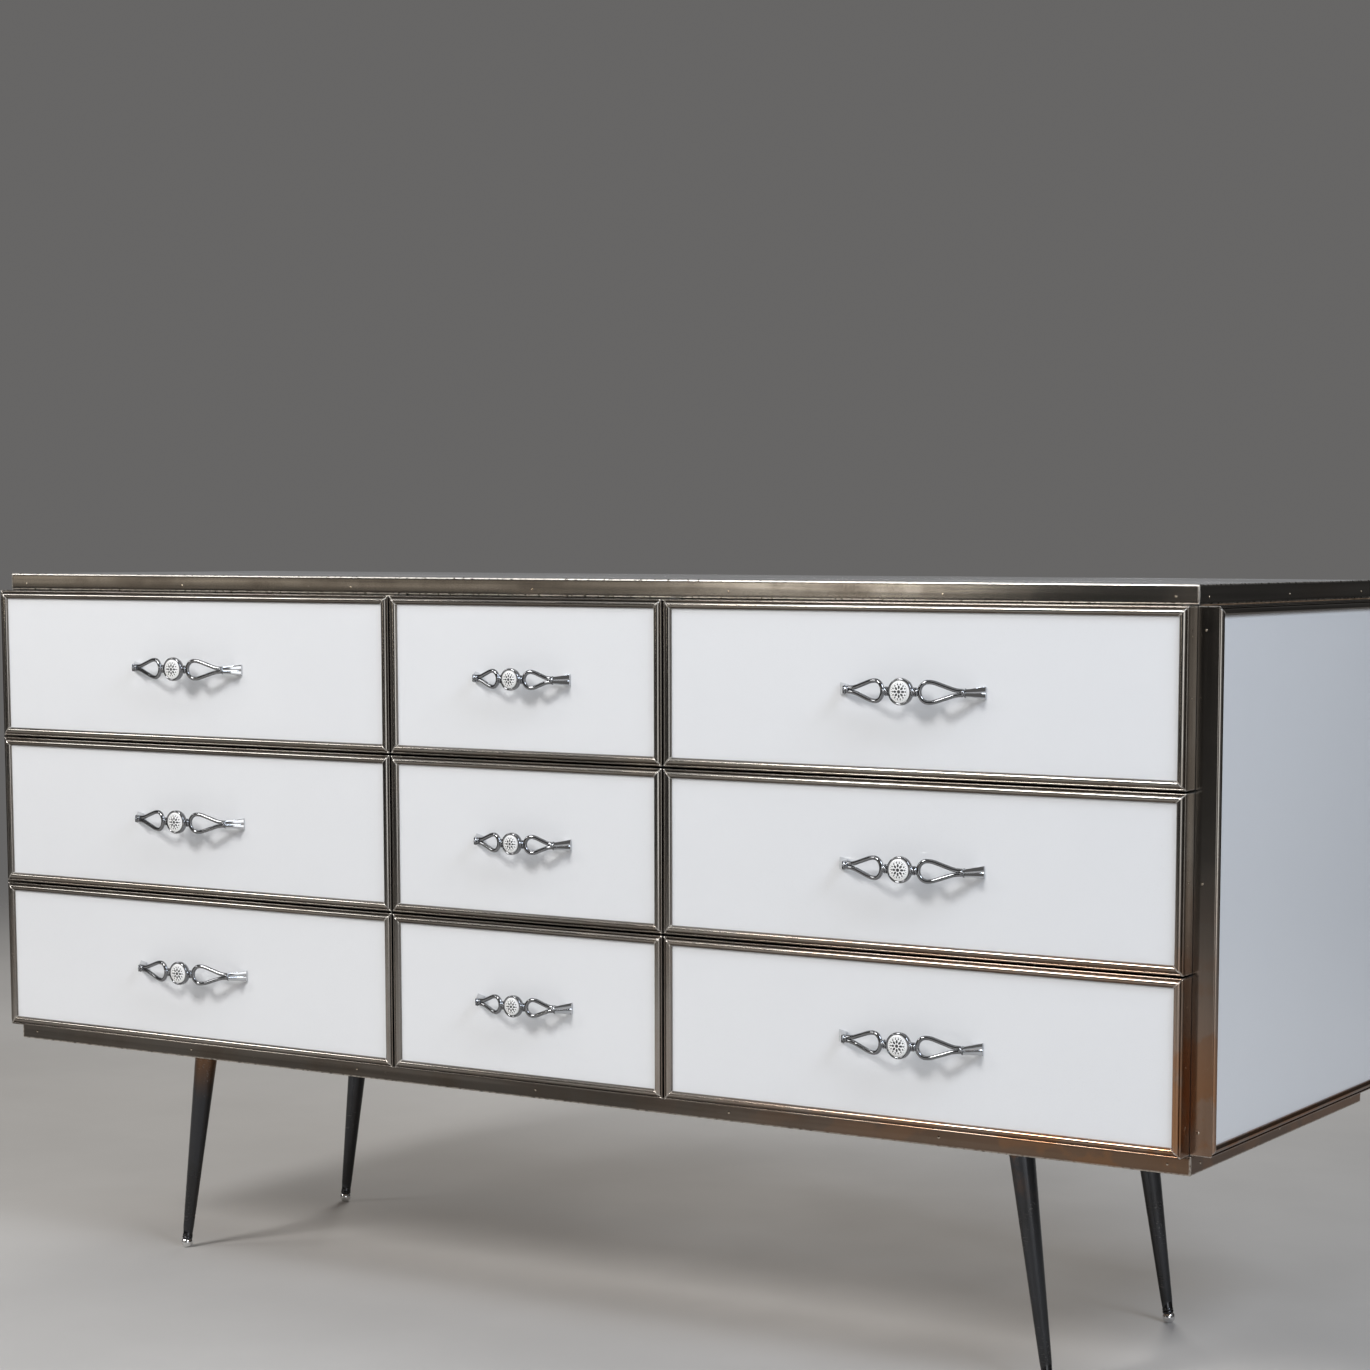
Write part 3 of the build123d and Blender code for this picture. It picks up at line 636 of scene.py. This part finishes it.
# flat bands round the top and bottom of the case, with rolled edges and a slight crown
band = {
    "thickness": 0.0012, "roll": 0.0024, "rollSteps": 6, "crown": 0.00006, "crownSteps": 8,
    "endEase": 0.0003, "endThickness": 0.6, "endHighlight": 0.8, "highlightReach": 0.0025, "edgeHighlight": 0.0022,
    "edgeShadeMost": 0.5, "edgeShadeAt": 0.003, "edgeShadeReach": 0.002, "sideShift": 3.1, "sharp": 40.0,
}


def bandProfile(height):
    thick, roll, steps = band["thickness"], band["roll"], band["rollSteps"]
    flat = thick - band["crown"]
    points = []
    for i in range(steps + 1):
        t = quarter * i / steps
        points.append((flat * sin(t), roll * (1.0 - cos(t))))
    for i in range(1, band["crownSteps"]):
        s = i / band["crownSteps"]
        points.append((flat + band["crown"] * sin(pi * s), roll + (height - 2 * roll) * s))
    for i in range(steps + 1):
        t = quarter * i / steps
        points.append((flat * cos(t), height - roll * (1.0 - sin(t))))
    return points


def bandStrip(bm, layers, start, end, out, height, seed):
    profile = bandProfile(height)
    run = (end - start).normalized()
    length = (end - start).length
    ease, reach, thin = band["endEase"], band["highlightReach"], band["endThickness"]
    # painted highlights at the band's ends and along its rolled edges
    stations = ((0.0, thin, 1.0), (ease, 1.0, 1.0), (reach, 1.0, 0.0), (length - reach, 1.0, 0.0),
                (length - ease, 1.0, 1.0), (length, thin, 1.0))
    rings = []
    for along, full, paintedHighlight in stations:
        rings.append([start + run * along + out * (a * full) + zAxis * b for a, b in profile])
    for (along, full, paintedHighlight), ring in zip(stations, loft(bm, rings)):
        for vert, (a, b) in zip(ring, profile):
            edge = min(b, height - b)
            vert[layers["stripCoord"]] = (along, b, seed)
            vert[layers["paintedHighlight"]] = max(paintedHighlight * band["endHighlight"], 1.0 - edge / band["edgeHighlight"], 0.0)
            # a painted dark reflection in a stripe just inside each rolled edge
            shadeAndGrime = band["edgeShadeMost"] - abs(edge - band["edgeShadeAt"]) / band["edgeShadeReach"]
            vert[layers["shadeAndGrime"]] = max(0.0, shadeAndGrime)


for seed, (bandName, finish) in enumerate((("top_band", trimMetal), ("bottom_band", shadedLowBandMetal))):
    low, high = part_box(bandName)
    thick = band["thickness"]
    height = high.z - low.z
    bm, layers = startMesh()
    start, end = Vector((low.x, low.y + thick, low.z)), Vector((high.x, low.y + thick, low.z))
    bandStrip(bm, layers, start, end, -yAxis, height, seed)
    for sign, edgeX in ((-1, low.x), (1, high.x)):
        start = Vector((edgeX - sign * thick, low.y + thick, low.z))
        end = Vector((start.x, high.y, low.z))
        bandStrip(bm, layers, start, end, xAxis * sign, height, seed + band["sideShift"] * sign)
    bandMesh = finishMesh(bm, f"{bandName}_strips", finish, band["sharp"])
    addPiece(f"{bandName}_strips", bandMesh, "chest", [bandName])
print("bands: 2")


# geometry node trees
def startTree(name, inputs):
    inputs = [("Geometry", "Geometry"), *inputs, ("Material", "Material")]
    return makeGroup(name, inputs, [("Geometry", "Geometry")], "GeometryNodeTree")


def endTree(tree, treeIn, treeOut, geometry):
    whole = nodeOut(tree, "GeometryNodeRealizeInstances", {"Geometry": geometry})
    smooth = nodeOut(tree, "GeometryNodeSetShadeSmooth", {"Geometry": whole})
    coated = {"Geometry": smooth, "Material": treeIn["Material"]}
    setInputs(tree, treeOut, {"Geometry": nodeOut(tree, "GeometryNodeSetMaterial", coated)})


def runTree(tree, carrierMesh, values):
    carrier = addObject("carrier", carrierMesh)
    modifier = carrier.modifiers.new("shape", "NODES")
    modifier.node_group = tree
    for label, value in values.items():
        modifier[tree.interface.items_tree[label].identifier] = value
    evaluated = carrier.evaluated_get(bpy.context.evaluated_depsgraph_get())
    made = bpy.data.meshes.new_from_object(evaluated)
    carrier.modifiers.remove(modifier)
    bpy.data.objects.remove(carrier)
    return made


# domed heads on points, each turned to the point's facing
headShape = {"rings": 7, "uneven": (0.94, 1.05)}
tree, treeIn, treeOut = startTree(
    "domedHeads", [("Head Radius", "Float"), ("Head Height", "Float"), ("Sides", "Int"), ("Seed", "Int")])
dome = {"Segments": treeIn["Sides"], "Rings": headShape["rings"], "Radius": 1.0}
dome = nodeOut(tree, "GeometryNodeMeshUVSphere", dome)
facing = nodeOut(tree, "GeometryNodeInputNamedAttribute", {"Name": "facing"}, data_type="FLOAT_VECTOR")
turned = nodeOut(tree, "FunctionNodeAlignRotationToVector", {"Vector": facing}, axis="Z")
least, most = headShape["uneven"]
uneven = {2: least, 3: most, "Seed": treeIn["Seed"]}
uneven = addNode(tree, "FunctionNodeRandomValue", uneven, data_type="FLOAT").outputs[1]
headWidth = times(tree, treeIn["Head Radius"], uneven)
headSize = {0: headWidth, 1: headWidth, 2: treeIn["Head Height"]}
headSize = nodeOut(tree, "ShaderNodeCombineXYZ", headSize)
heads = {"Points": treeIn["Geometry"], "Instance": dome, "Rotation": turned, "Scale": headSize}
heads = nodeOut(tree, "GeometryNodeInstanceOnPoints", heads)
endTree(tree, treeIn, treeOut, heads)
headTree = tree

# round bars along the carrier's edges
barTree, treeIn, treeOut = startTree("roundBars", [("Bar Radius", "Float"), ("Sides", "Int")])
path = nodeOut(barTree, "GeometryNodeMeshToCurve", {"Mesh": treeIn["Geometry"]})
section = {"Resolution": treeIn["Sides"], "Radius": treeIn["Bar Radius"]}
section = nodeOut(barTree, "GeometryNodeCurvePrimitiveCircle", section)
tube = {"Curve": path, "Profile Curve": section, "Fill Caps": True}
tube = nodeOut(barTree, "GeometryNodeCurveToMesh", tube)
endTree(barTree, treeIn, treeOut, tube)

# a flat rosette: petals round a centre, with two rings of dots outside them; sizes are shares of the disc
rosetteSizes = {
    "Petals": 8, "Petal Ring": 0.40, "Petal Length": 0.165, "Petal Width": 0.105, "Centre Radius": 0.165,
    "Dots": 14, "Dot Ring": 0.66, "Dot Radius": 0.075,
    "Rim Dots": 28, "Rim Ring": 0.80, "Rim Dot Radius": 0.032,
}
flakeShape = {"Segments": 12, "Rings": 6, "Radius": 1.0}
sizeSockets = [(label, "Int" if isinstance(size, int) else "Float") for label, size in rosetteSizes.items()]
tree, treeIn, treeOut = startTree("rosette", [*sizeSockets, ("Thickness", "Float")])
flake = nodeOut(tree, "GeometryNodeMeshUVSphere", flakeShape)
spot = nodeOut(tree, "GeometryNodeInputPosition")
outward = nodeOut(tree, "FunctionNodeAlignRotationToVector", {"Vector": spot}, axis="X")
marks = []
for labels in (
    ("Petals", "Petal Ring", "Petal Length", "Petal Width"),
    ("Dots", "Dot Ring", "Dot Radius", "Dot Radius"),
    ("Rim Dots", "Rim Ring", "Rim Dot Radius", "Rim Dot Radius"),
):
    count, ringRadius, length, breadth = (treeIn[label] for label in labels)
    ring = nodeOut(tree, "GeometryNodeMeshCircle", {"Vertices": count, "Radius": ringRadius})
    size = nodeOut(tree, "ShaderNodeCombineXYZ", {0: length, 1: breadth, 2: treeIn["Thickness"]})
    mark = {"Points": ring, "Instance": flake, "Rotation": outward, "Scale": size}
    marks.append(nodeOut(tree, "GeometryNodeInstanceOnPoints", mark))
size = {0: treeIn["Centre Radius"], 1: treeIn["Centre Radius"], 2: treeIn["Thickness"]}
size = nodeOut(tree, "ShaderNodeCombineXYZ", size)
marks.append(nodeOut(tree, "GeometryNodeTransform", {"Geometry": flake, "Scale": size}))
joined = addNode(tree, "GeometryNodeJoinGeometry")
for mark in marks:
    tree.links.new(mark, joined.inputs[0])
endTree(tree, treeIn, treeOut, joined.outputs[0])
rosetteTree = tree
print("node groups:", len(bpy.data.node_groups))


def domedHeads(name, spots, shape, seed, material):
    mesh = bpy.data.meshes.new(name)
    mesh.from_pydata([place for place, facing in spots], [], [])
    attribute = mesh.attributes.new("facing", "FLOAT_VECTOR", "POINT")
    for item, (place, facing) in zip(attribute.data, spots):
        item.vector = facing
    return runTree(headTree, mesh, {
        "Head Radius": shape["radius"], "Head Height": shape["height"], "Sides": shape["sides"],
        "Seed": seed, "Material": material,
    })


# nails of the bands and of the side panels' front strips
nails = {
    "radius": 0.0016, "height": 0.0009, "sides": 12, "seed": 4, "frontCount": 7, "frontReach": 0.787,
    "sideCount": 3, "sideFrom": -0.19085, "sideTo": 0.23315, "stripCount": 3, "stripFrom": 0.312,
    "stripTo": 0.8161, "stripX": 0.8195, "topZ": 0.8486, "bottomZ": 0.277,
}


def spread(first, last, count):
    return [first + (last - first) * i / (count - 1) for i in range(count)]


bandLow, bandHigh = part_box("top_band")
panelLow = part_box("right_panel_frame")[0]
nailSpots = []
for z in (nails["topZ"], nails["bottomZ"]):
    for x in spread(-nails["frontReach"], nails["frontReach"], nails["frontCount"]):
        nailSpots.append((Vector((x, bandLow.y, z)), -yAxis))
    for sign in (-1, 1):
        for y in spread(nails["sideFrom"], nails["sideTo"], nails["sideCount"]):
            nailSpots.append((Vector((sign * bandHigh.x, y, z)), xAxis * sign))
for sign in (-1, 1):
    for z in spread(nails["stripFrom"], nails["stripTo"], nails["stripCount"]):
        nailSpots.append((Vector((sign * nails["stripX"], panelLow.y, z)), -yAxis))
nailMesh = domedHeads("nailSpots", nailSpots, nails, nails["seed"], nailMetal)
addPiece("edging_nails", nailMesh, "chest", ["trim_nails"])

# small pins that hold each drawer's moulding through its flange
pins = {"radius": 0.0009, "height": 0.0003, "sides": 8, "back": 0.0115, "along": 5, "up": 3, "inset": 0.03}
for seed, drawerName in enumerate(drawerNames):
    low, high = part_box(f"{drawerName}_frame")
    pinY = high.y - pins["back"]
    pinSpots = []
    for z in spread(low.z + pins["inset"], high.z - pins["inset"], pins["up"]):
        pinSpots.append((Vector((low.x, pinY, z)), -xAxis))
        pinSpots.append((Vector((high.x, pinY, z)), xAxis))
    for x in spread(low.x + pins["inset"], high.x - pins["inset"], pins["along"]):
        pinSpots.append((Vector((x, pinY, low.z)), -zAxis))
        pinSpots.append((Vector((x, pinY, high.z)), zAxis))
    pinMesh = domedHeads("pinSpots", pinSpots, pins, seed, nailMetal)
    addPiece(f"{drawerName}_pins", pinMesh, f"{drawerName}_drawer")
print("nails and pins:", len(nailSpots), "nails")

# legs: slim cones that splay outwards, each with a ringed ferrule over its ball
legs = {
    "ball": (0.615, 0.158, 0.0065), "top": (0.577, 0.154, 0.267), "middleY": 0.02515, "cutZ": 0.263,
    "radii": (0.0062, 0.0145), "seat": 0.005,
    "ferrule": (
        (0.0048, 0.0052), (0.0054, 0.0063), (0.0066, 0.0066), (0.0078, 0.0063), (0.0082, 0.0059),
        (0.0086, 0.0062), (0.0096, 0.0065), (0.0106, 0.0062), (0.0110, 0.0059),
    ),
    "coneRows": 24, "steps": 40, "sharp": 50.0, "glideRadius": 0.0073, "glideTop": 0.0056,
    "glideRows": 20, "glideSteps": 32, "glideSharp": 40.0,
}


def legMesh(name, ball, top):
    bm = startMesh()[0]
    axis = (top - ball).normalized()
    first = axis.cross(yAxis).normalized()
    second = axis.cross(first)
    length = (top - ball).length
    thin, thick = legs["radii"]
    stations = list(legs["ferrule"])
    start = stations[-1][0]
    for i in range(1, legs["coneRows"] + 1):
        along = start + (length - start) * i / legs["coneRows"]
        share = (along - legs["seat"]) / (length - legs["seat"])
        stations.append((along, thin + (thick - thin) * share))
    rings = []
    for along, radius in stations[:-1]:
        rings.append(circleRing(ball + axis * along, first, second, radius, legs["steps"]))
    lastRing = []
    for point in circleRing(ball + axis * stations[-1][0], first, second, stations[-1][1], legs["steps"]):
        lastRing.append(point - axis * ((point.z - legs["cutZ"]) / axis.z))  # cut level under the plate
    rings.append(lastRing)
    loft(bm, rings)
    return finishMesh(bm, name, legMetal, legs["sharp"])


def glideRings(ball):
    radius, rows = legs["glideRadius"], legs["glideRows"]
    rings = []
    bottom = -legs["ball"][2]
    for i in range(rows + 1):
        height = bottom + (legs["glideTop"] - bottom) * i / rows
        around = sqrt(radius ** 2 - height ** 2)
        rings.append(circleRing(ball + zAxis * height, xAxis, yAxis, around, legs["glideSteps"]))
    return rings


glideBm = startMesh()[0]
for depthSign, depthName in ((-1, "front"), (1, "back")):
    for sideSign, sideName in ((-1, "left"), (1, "right")):
        ballX, ballY, ballZ = legs["ball"]
        topX, topY, topZ = legs["top"]
        ball = Vector((sideSign * ballX, legs["middleY"] + depthSign * ballY, ballZ))
        top = Vector((sideSign * topX, legs["middleY"] + depthSign * topY, topZ))
        legName = f"{depthName}_{sideName}_leg"
        addPiece(f"{legName}_cone", legMesh(f"{legName}_cone", ball, top), "chest", [legName])
        loft(glideBm, glideRings(ball))
glideMesh = finishMesh(glideBm, "ball_glides", glideMetal, legs["glideSharp"])
addPiece("ball_glides", glideMesh, "chest", ["leg_glides"])
print("legs: 4")

# bow pulls: fluted feet, beaded collars, two teardrop loops of round bar and a bezel with a crowned disc
pullKinds = {
    "wide": {
        "bezelRadius": 0.0142, "bezelTop": 0.0285, "bezelBottom": 0.0219, "neckRise": 0.0252,
        "loopStart": 0.0218, "loopRadius": 0.0106, "collarStart": 0.0668,
        "footStart": 0.0728, "footEnd": 0.086,
    },
    "narrow": {
        "bezelRadius": 0.0126, "bezelTop": 0.0255, "bezelBottom": 0.0189, "neckRise": 0.0222,
        "loopStart": 0.0180, "loopRadius": 0.009, "collarStart": 0.0496,
        "footStart": 0.0556, "footEnd": 0.066,
    },
}
pull = {
    "barRadius": 0.0024, "barSides": 16, "barSink": 0.001, "halfSpacing": 0.0020, "roundShare": 0.92,
    "roundSteps": 16, "fallShare": 0.96, "fallSteps": 20, "easeShares": (0.25, 0.30), "collarRise": 0.016,
    "collarRings": (
        (0.0, 0.0026), (0.0003, 0.0034), (0.0008, 0.0039), (0.0015, 0.0041), (0.0022, 0.0039),
        (0.0027, 0.0033), (0.0031, 0.0033), (0.0035, 0.0037), (0.0042, 0.0044), (0.0050, 0.0043),
        (0.0056, 0.0036), (0.0062, 0.0028),
    ),
    "footHalf": (0.0042, 0.0066), "footFlare": 1.2, "footTop": (0.0198, 0.0020), "footFall": 1.1,
    "footUnder": 0.0116, "footBase": 0.010, "footRows": 14,
    "footSection": (
        (-1.0, 0.0007), (-0.97, 0.0003), (-0.9, 0.0001), (-0.6, 0.0), (-0.3, 0.0), (-0.13, 0.0001),
        (-0.08, 0.0003), (0.0, 0.0009), (0.08, 0.0003), (0.13, 0.0001), (0.3, 0.0), (0.6, 0.0001),
        (0.9, 0.0003), (0.97, 0.0005), (1.0, 0.0009),
    ),
    "deepestShare": 0.6, "axisRadius": 0.0002,
    "bezelBack": ((0.0016, 0.0), (0.0004, 0.0006), (0.0, 0.0018)),  # in from the rim, out from the back
    "bezelSide": ((0.0, 0.0030), (0.0005, 0.0026), (0.0005, 0.0021), (0.0, 0.0017)),  # in, down from the top
    "rimHalf": 0.00125, "rimDrop": 0.0012, "rimRise": 0.0014, "rimSteps": 8, "seatInset": 0.0025,
    "seatDepth": 0.0018, "neckSink": 0.0012, "neckShort": 0.0004,
    "neckSection": (
        (0.0, 0.0034), (0.14, 0.0036), (0.18, 0.0046), (0.26, 0.0050), (0.34, 0.0046), (0.38, 0.0038),
        (0.44, 0.0038), (0.48, 0.0046), (0.56, 0.0050), (0.64, 0.0046), (0.68, 0.0036), (0.74, 0.0036),
        (0.78, 0.0040), (0.86, 0.0042), (0.93, 0.0038), (1.0, 0.0028),
    ),
    "discInset": 0.0026, "discCrown": 0.0015, "discEdge": (0.0004, 12), "discRows": 12,
    "rosetteThickness": 0.00012, "screwInset": 0.006,
    "screwHead": ((0.0035, -0.0200), (0.0035, -0.0214), (0.002625, -0.0222), (0.0002, -0.0224)),
    "screwSteps": 20, "neckSteps": 24, "steps": 48, "bowSharp": 38.0, "discSharp": 60.0,
}


def taperShare(u):
    # height left at u along the fall: eased at both ends, straight between
    easeIn, easeOut = pull["easeShares"]
    slope = 1.0 / (1.0 - 0.5 * (easeIn + easeOut))
    if u < easeIn:
        return 1.0 - slope * u * u / (2.0 * easeIn)
    if u > 1.0 - easeOut:
        return slope * (1.0 - u) ** 2 / (2.0 * easeOut)
    return 1.0 - slope * (u - 0.5 * easeIn)


def loopPath(kind, reach, up):
    # one half of a loop in its own plane: a round end, then a straight-sided fall to the stem
    radius, spacing = kind["loopRadius"], pull["halfSpacing"]
    roundEnd = radius * pull["roundShare"]
    fall = (reach - roundEnd) * pull["fallShare"]
    points = []
    for i in range(pull["roundSteps"] + 1):
        t = quarter * i / pull["roundSteps"]
        points.append((roundEnd * (1.0 - cos(t)), radius * sin(t)))
    steps = pull["fallSteps"]
    for i in range(1, steps + 1):
        points.append((roundEnd + fall * i / steps, spacing + (radius - spacing) * taperShare(i / steps)))
    points.append((reach, spacing))
    return [(along, up * height) for along, height in points]


def barCarrier(kind):
    start = Vector((kind["loopStart"], kind["neckRise"]))
    end = Vector((kind["collarStart"] + pull["barSink"], pull["collarRise"]))
    run = (end - start).normalized()
    verts, edges = [], []
    for side in (-1, 1):
        for up in (-1, 1):
            for i, (along, height) in enumerate(loopPath(kind, (end - start).length, up)):
                spot = start + run * along
                if i:
                    edges.append((len(verts) - 1, len(verts)))
                verts.append((side * spot.x, -spot.y, height))
    mesh = bpy.data.meshes.new("barPaths")
    mesh.from_pydata(verts, edges, [])
    return mesh


def lathe(bm, stations, origin, axis, across, steps):
    # rings of the stations' radii, each at its distance along the axis
    rings = []
    for radius, along in stations:
        rings.append(circleRing(origin + axis * along, across, zAxis, radius, steps))
    loft(bm, rings)


def footRings(kind, side):
    start, end = kind["footStart"], kind["footEnd"]
    (halfStart, halfEnd), (topStart, topEnd) = pull["footHalf"], pull["footTop"]
    baseStart = end - pull["footBase"]
    rings = []
    for i in range(pull["footRows"] + 1):
        s = i / pull["footRows"]
        x = start + (end - start) * s
        half = halfStart + (halfEnd - halfStart) * s ** pull["footFlare"]
        top = topEnd + (topStart - topEnd) * (1.0 - s) ** pull["footFall"]
        under = max(0.0, pull["footUnder"] * (baseStart - x) / (baseStart - start))
        deepest = (top - under) * pull["deepestShare"]
        ring = []
        for share, dip in pull["footSection"]:
            ring.append(Vector((side * x, -top + min(dip, deepest), half * share)))
        ring += [Vector((side * x, -under, half)), Vector((side * x, -under, -half))]
        rings.append(ring)
    return rings


def discRadius(kind):
    return kind["bezelRadius"] - pull["discInset"]


def domeOut(kind, radius):
    return kind["bezelTop"] + pull["discCrown"] * (1.0 - (radius / discRadius(kind)) ** 2)


beads = {
    "radius": 0.0017, "height": 0.0017, "sides": 14, "seed": 2, "start": 0.0044, "reach": 0.0036,
    "angles": (-62.0, 0.0, 62.0),
}


def collarBeads(kind):
    spots = []
    for side in (-1, 1):
        for angle in beads["angles"]:
            t = radians(angle)
            x = side * (kind["collarStart"] + beads["start"])
            out, up = beads["reach"] * cos(t), beads["reach"] * sin(t)
            place = Vector((x, -pull["collarRise"] - out, up))
            spots.append((place, Vector((0.0, -cos(t), sin(t)))))
    return domedHeads("beadSpots", spots, beads, beads["seed"], pullMetal)


def bezelStations(kind):
    rim, top, bottom = kind["bezelRadius"], kind["bezelTop"], kind["bezelBottom"]
    stations = [(pull["axisRadius"], bottom)]
    stations += [(rim - inward, bottom + out) for inward, out in pull["bezelBack"]]
    stations += [(rim - inward, top - down) for inward, down in pull["bezelSide"]]
    half = pull["rimHalf"]
    for i in range(pull["rimSteps"] + 1):
        t = pi * i / pull["rimSteps"]
        height = top - pull["rimDrop"] + pull["rimRise"] * sin(t)
        stations.append((rim - half + half * cos(t), height))
    seat = top - pull["seatDepth"]
    return stations + [(rim - pull["seatInset"], seat), (pull["axisRadius"], seat)]


def bowMesh(kindName):
    kind = pullKinds[kindName]
    bars = runTree(barTree, barCarrier(kind), {
        "Bar Radius": pull["barRadius"], "Sides": pull["barSides"], "Material": pullMetal})
    bm, layers = startMesh()
    bm.from_mesh(bars)
    bm.from_mesh(collarBeads(kind))
    lathe(bm, bezelStations(kind), Vector(), -yAxis, xAxis, pull["steps"])
    neckStart = kind["bezelRadius"] - pull["neckSink"]
    neckEnd = kind["loopStart"] - pull["neckShort"]
    neck = [(radius, neckStart + (neckEnd - neckStart) * s) for s, radius in pull["neckSection"]]
    collar = [(radius, kind["collarStart"] + along) for along, radius in pull["collarRings"]]
    for side in (-1, 1):
        lathe(bm, neck, -yAxis * kind["neckRise"], xAxis * side, yAxis, pull["neckSteps"])
        lathe(bm, collar, -yAxis * pull["collarRise"], xAxis * side, yAxis, pull["neckSteps"])
        # the feet are marked for the lighter highlight colour: a painted highlight
        for ring in loft(bm, footRings(kind, side)):
            for vert in ring:
                vert[layers["paintedHighlight"]] = 1.0
        screwX = side * (kind["footEnd"] - pull["screwInset"])
        lathe(bm, pull["screwHead"], xAxis * screwX, -yAxis, xAxis, pull["screwSteps"])
    return finishMesh(bm, f"{kindName}_bow", pullMetal, pull["bowSharp"])


def discMesh(kindName):
    kind = pullKinds[kindName]
    radius, rows = discRadius(kind), pull["discRows"]
    edgeDrop, edgePower = pull["discEdge"]
    bm = startMesh()[0]
    stations = [(radius, kind["bezelTop"] - pull["seatDepth"])]
    for i in range(rows + 1):
        r = radius * (1.0 - i / rows)
        rise = domeOut(kind, r) - edgeDrop * (r / radius) ** edgePower
        stations.append((max(r, pull["axisRadius"]), rise))
    lathe(bm, stations, Vector(), -yAxis, xAxis, pull["steps"])
    return finishMesh(bm, f"{kindName}_disc", discEnamel, pull["discSharp"])


def rosetteMesh(kindName):
    kind = pullKinds[kindName]
    values = {"Thickness": pull["rosetteThickness"], "Material": rosetteEnamel}
    for label, size in rosetteSizes.items():
        values[label] = size if isinstance(size, int) else size * discRadius(kind)
    mesh = runTree(rosetteTree, bpy.data.meshes.new("rosetteSpot"), values)
    for vert in mesh.vertices:
        x, z, thick = vert.co
        vert.co = (x, -domeOut(kind, hypot(x, z)) - thick, z)
    bm = bmesh.new()
    bm.from_mesh(mesh)
    return finishMesh(bm, f"{kindName}_rosette", rosetteEnamel, pull["discSharp"])


pullPieces = (("bow", "pull_metal"), ("disc", "white_glass"), ("rosette", "pull_metal"))
pullMeshes = {}
for kindName in pullKinds:
    pullMeshes[kindName] = (bowMesh(kindName), discMesh(kindName), rosetteMesh(kindName))
for drawerName in drawerNames:
    place = Matrix.Translation(drawerFront(drawerName)[2])
    kindName = "narrow" if "centre" in drawerName else "wide"
    for mesh, (label, slot) in zip(pullMeshes[kindName], pullPieces):
        copy = mesh.copy()
        copy.transform(place)
        replaced = [f"{drawerName}_pull"] if label == "bow" else []
        addPiece(f"{drawerName}_{label}", copy, f"{drawerName}_drawer", replaced)
print("pulls:", len(drawerNames))
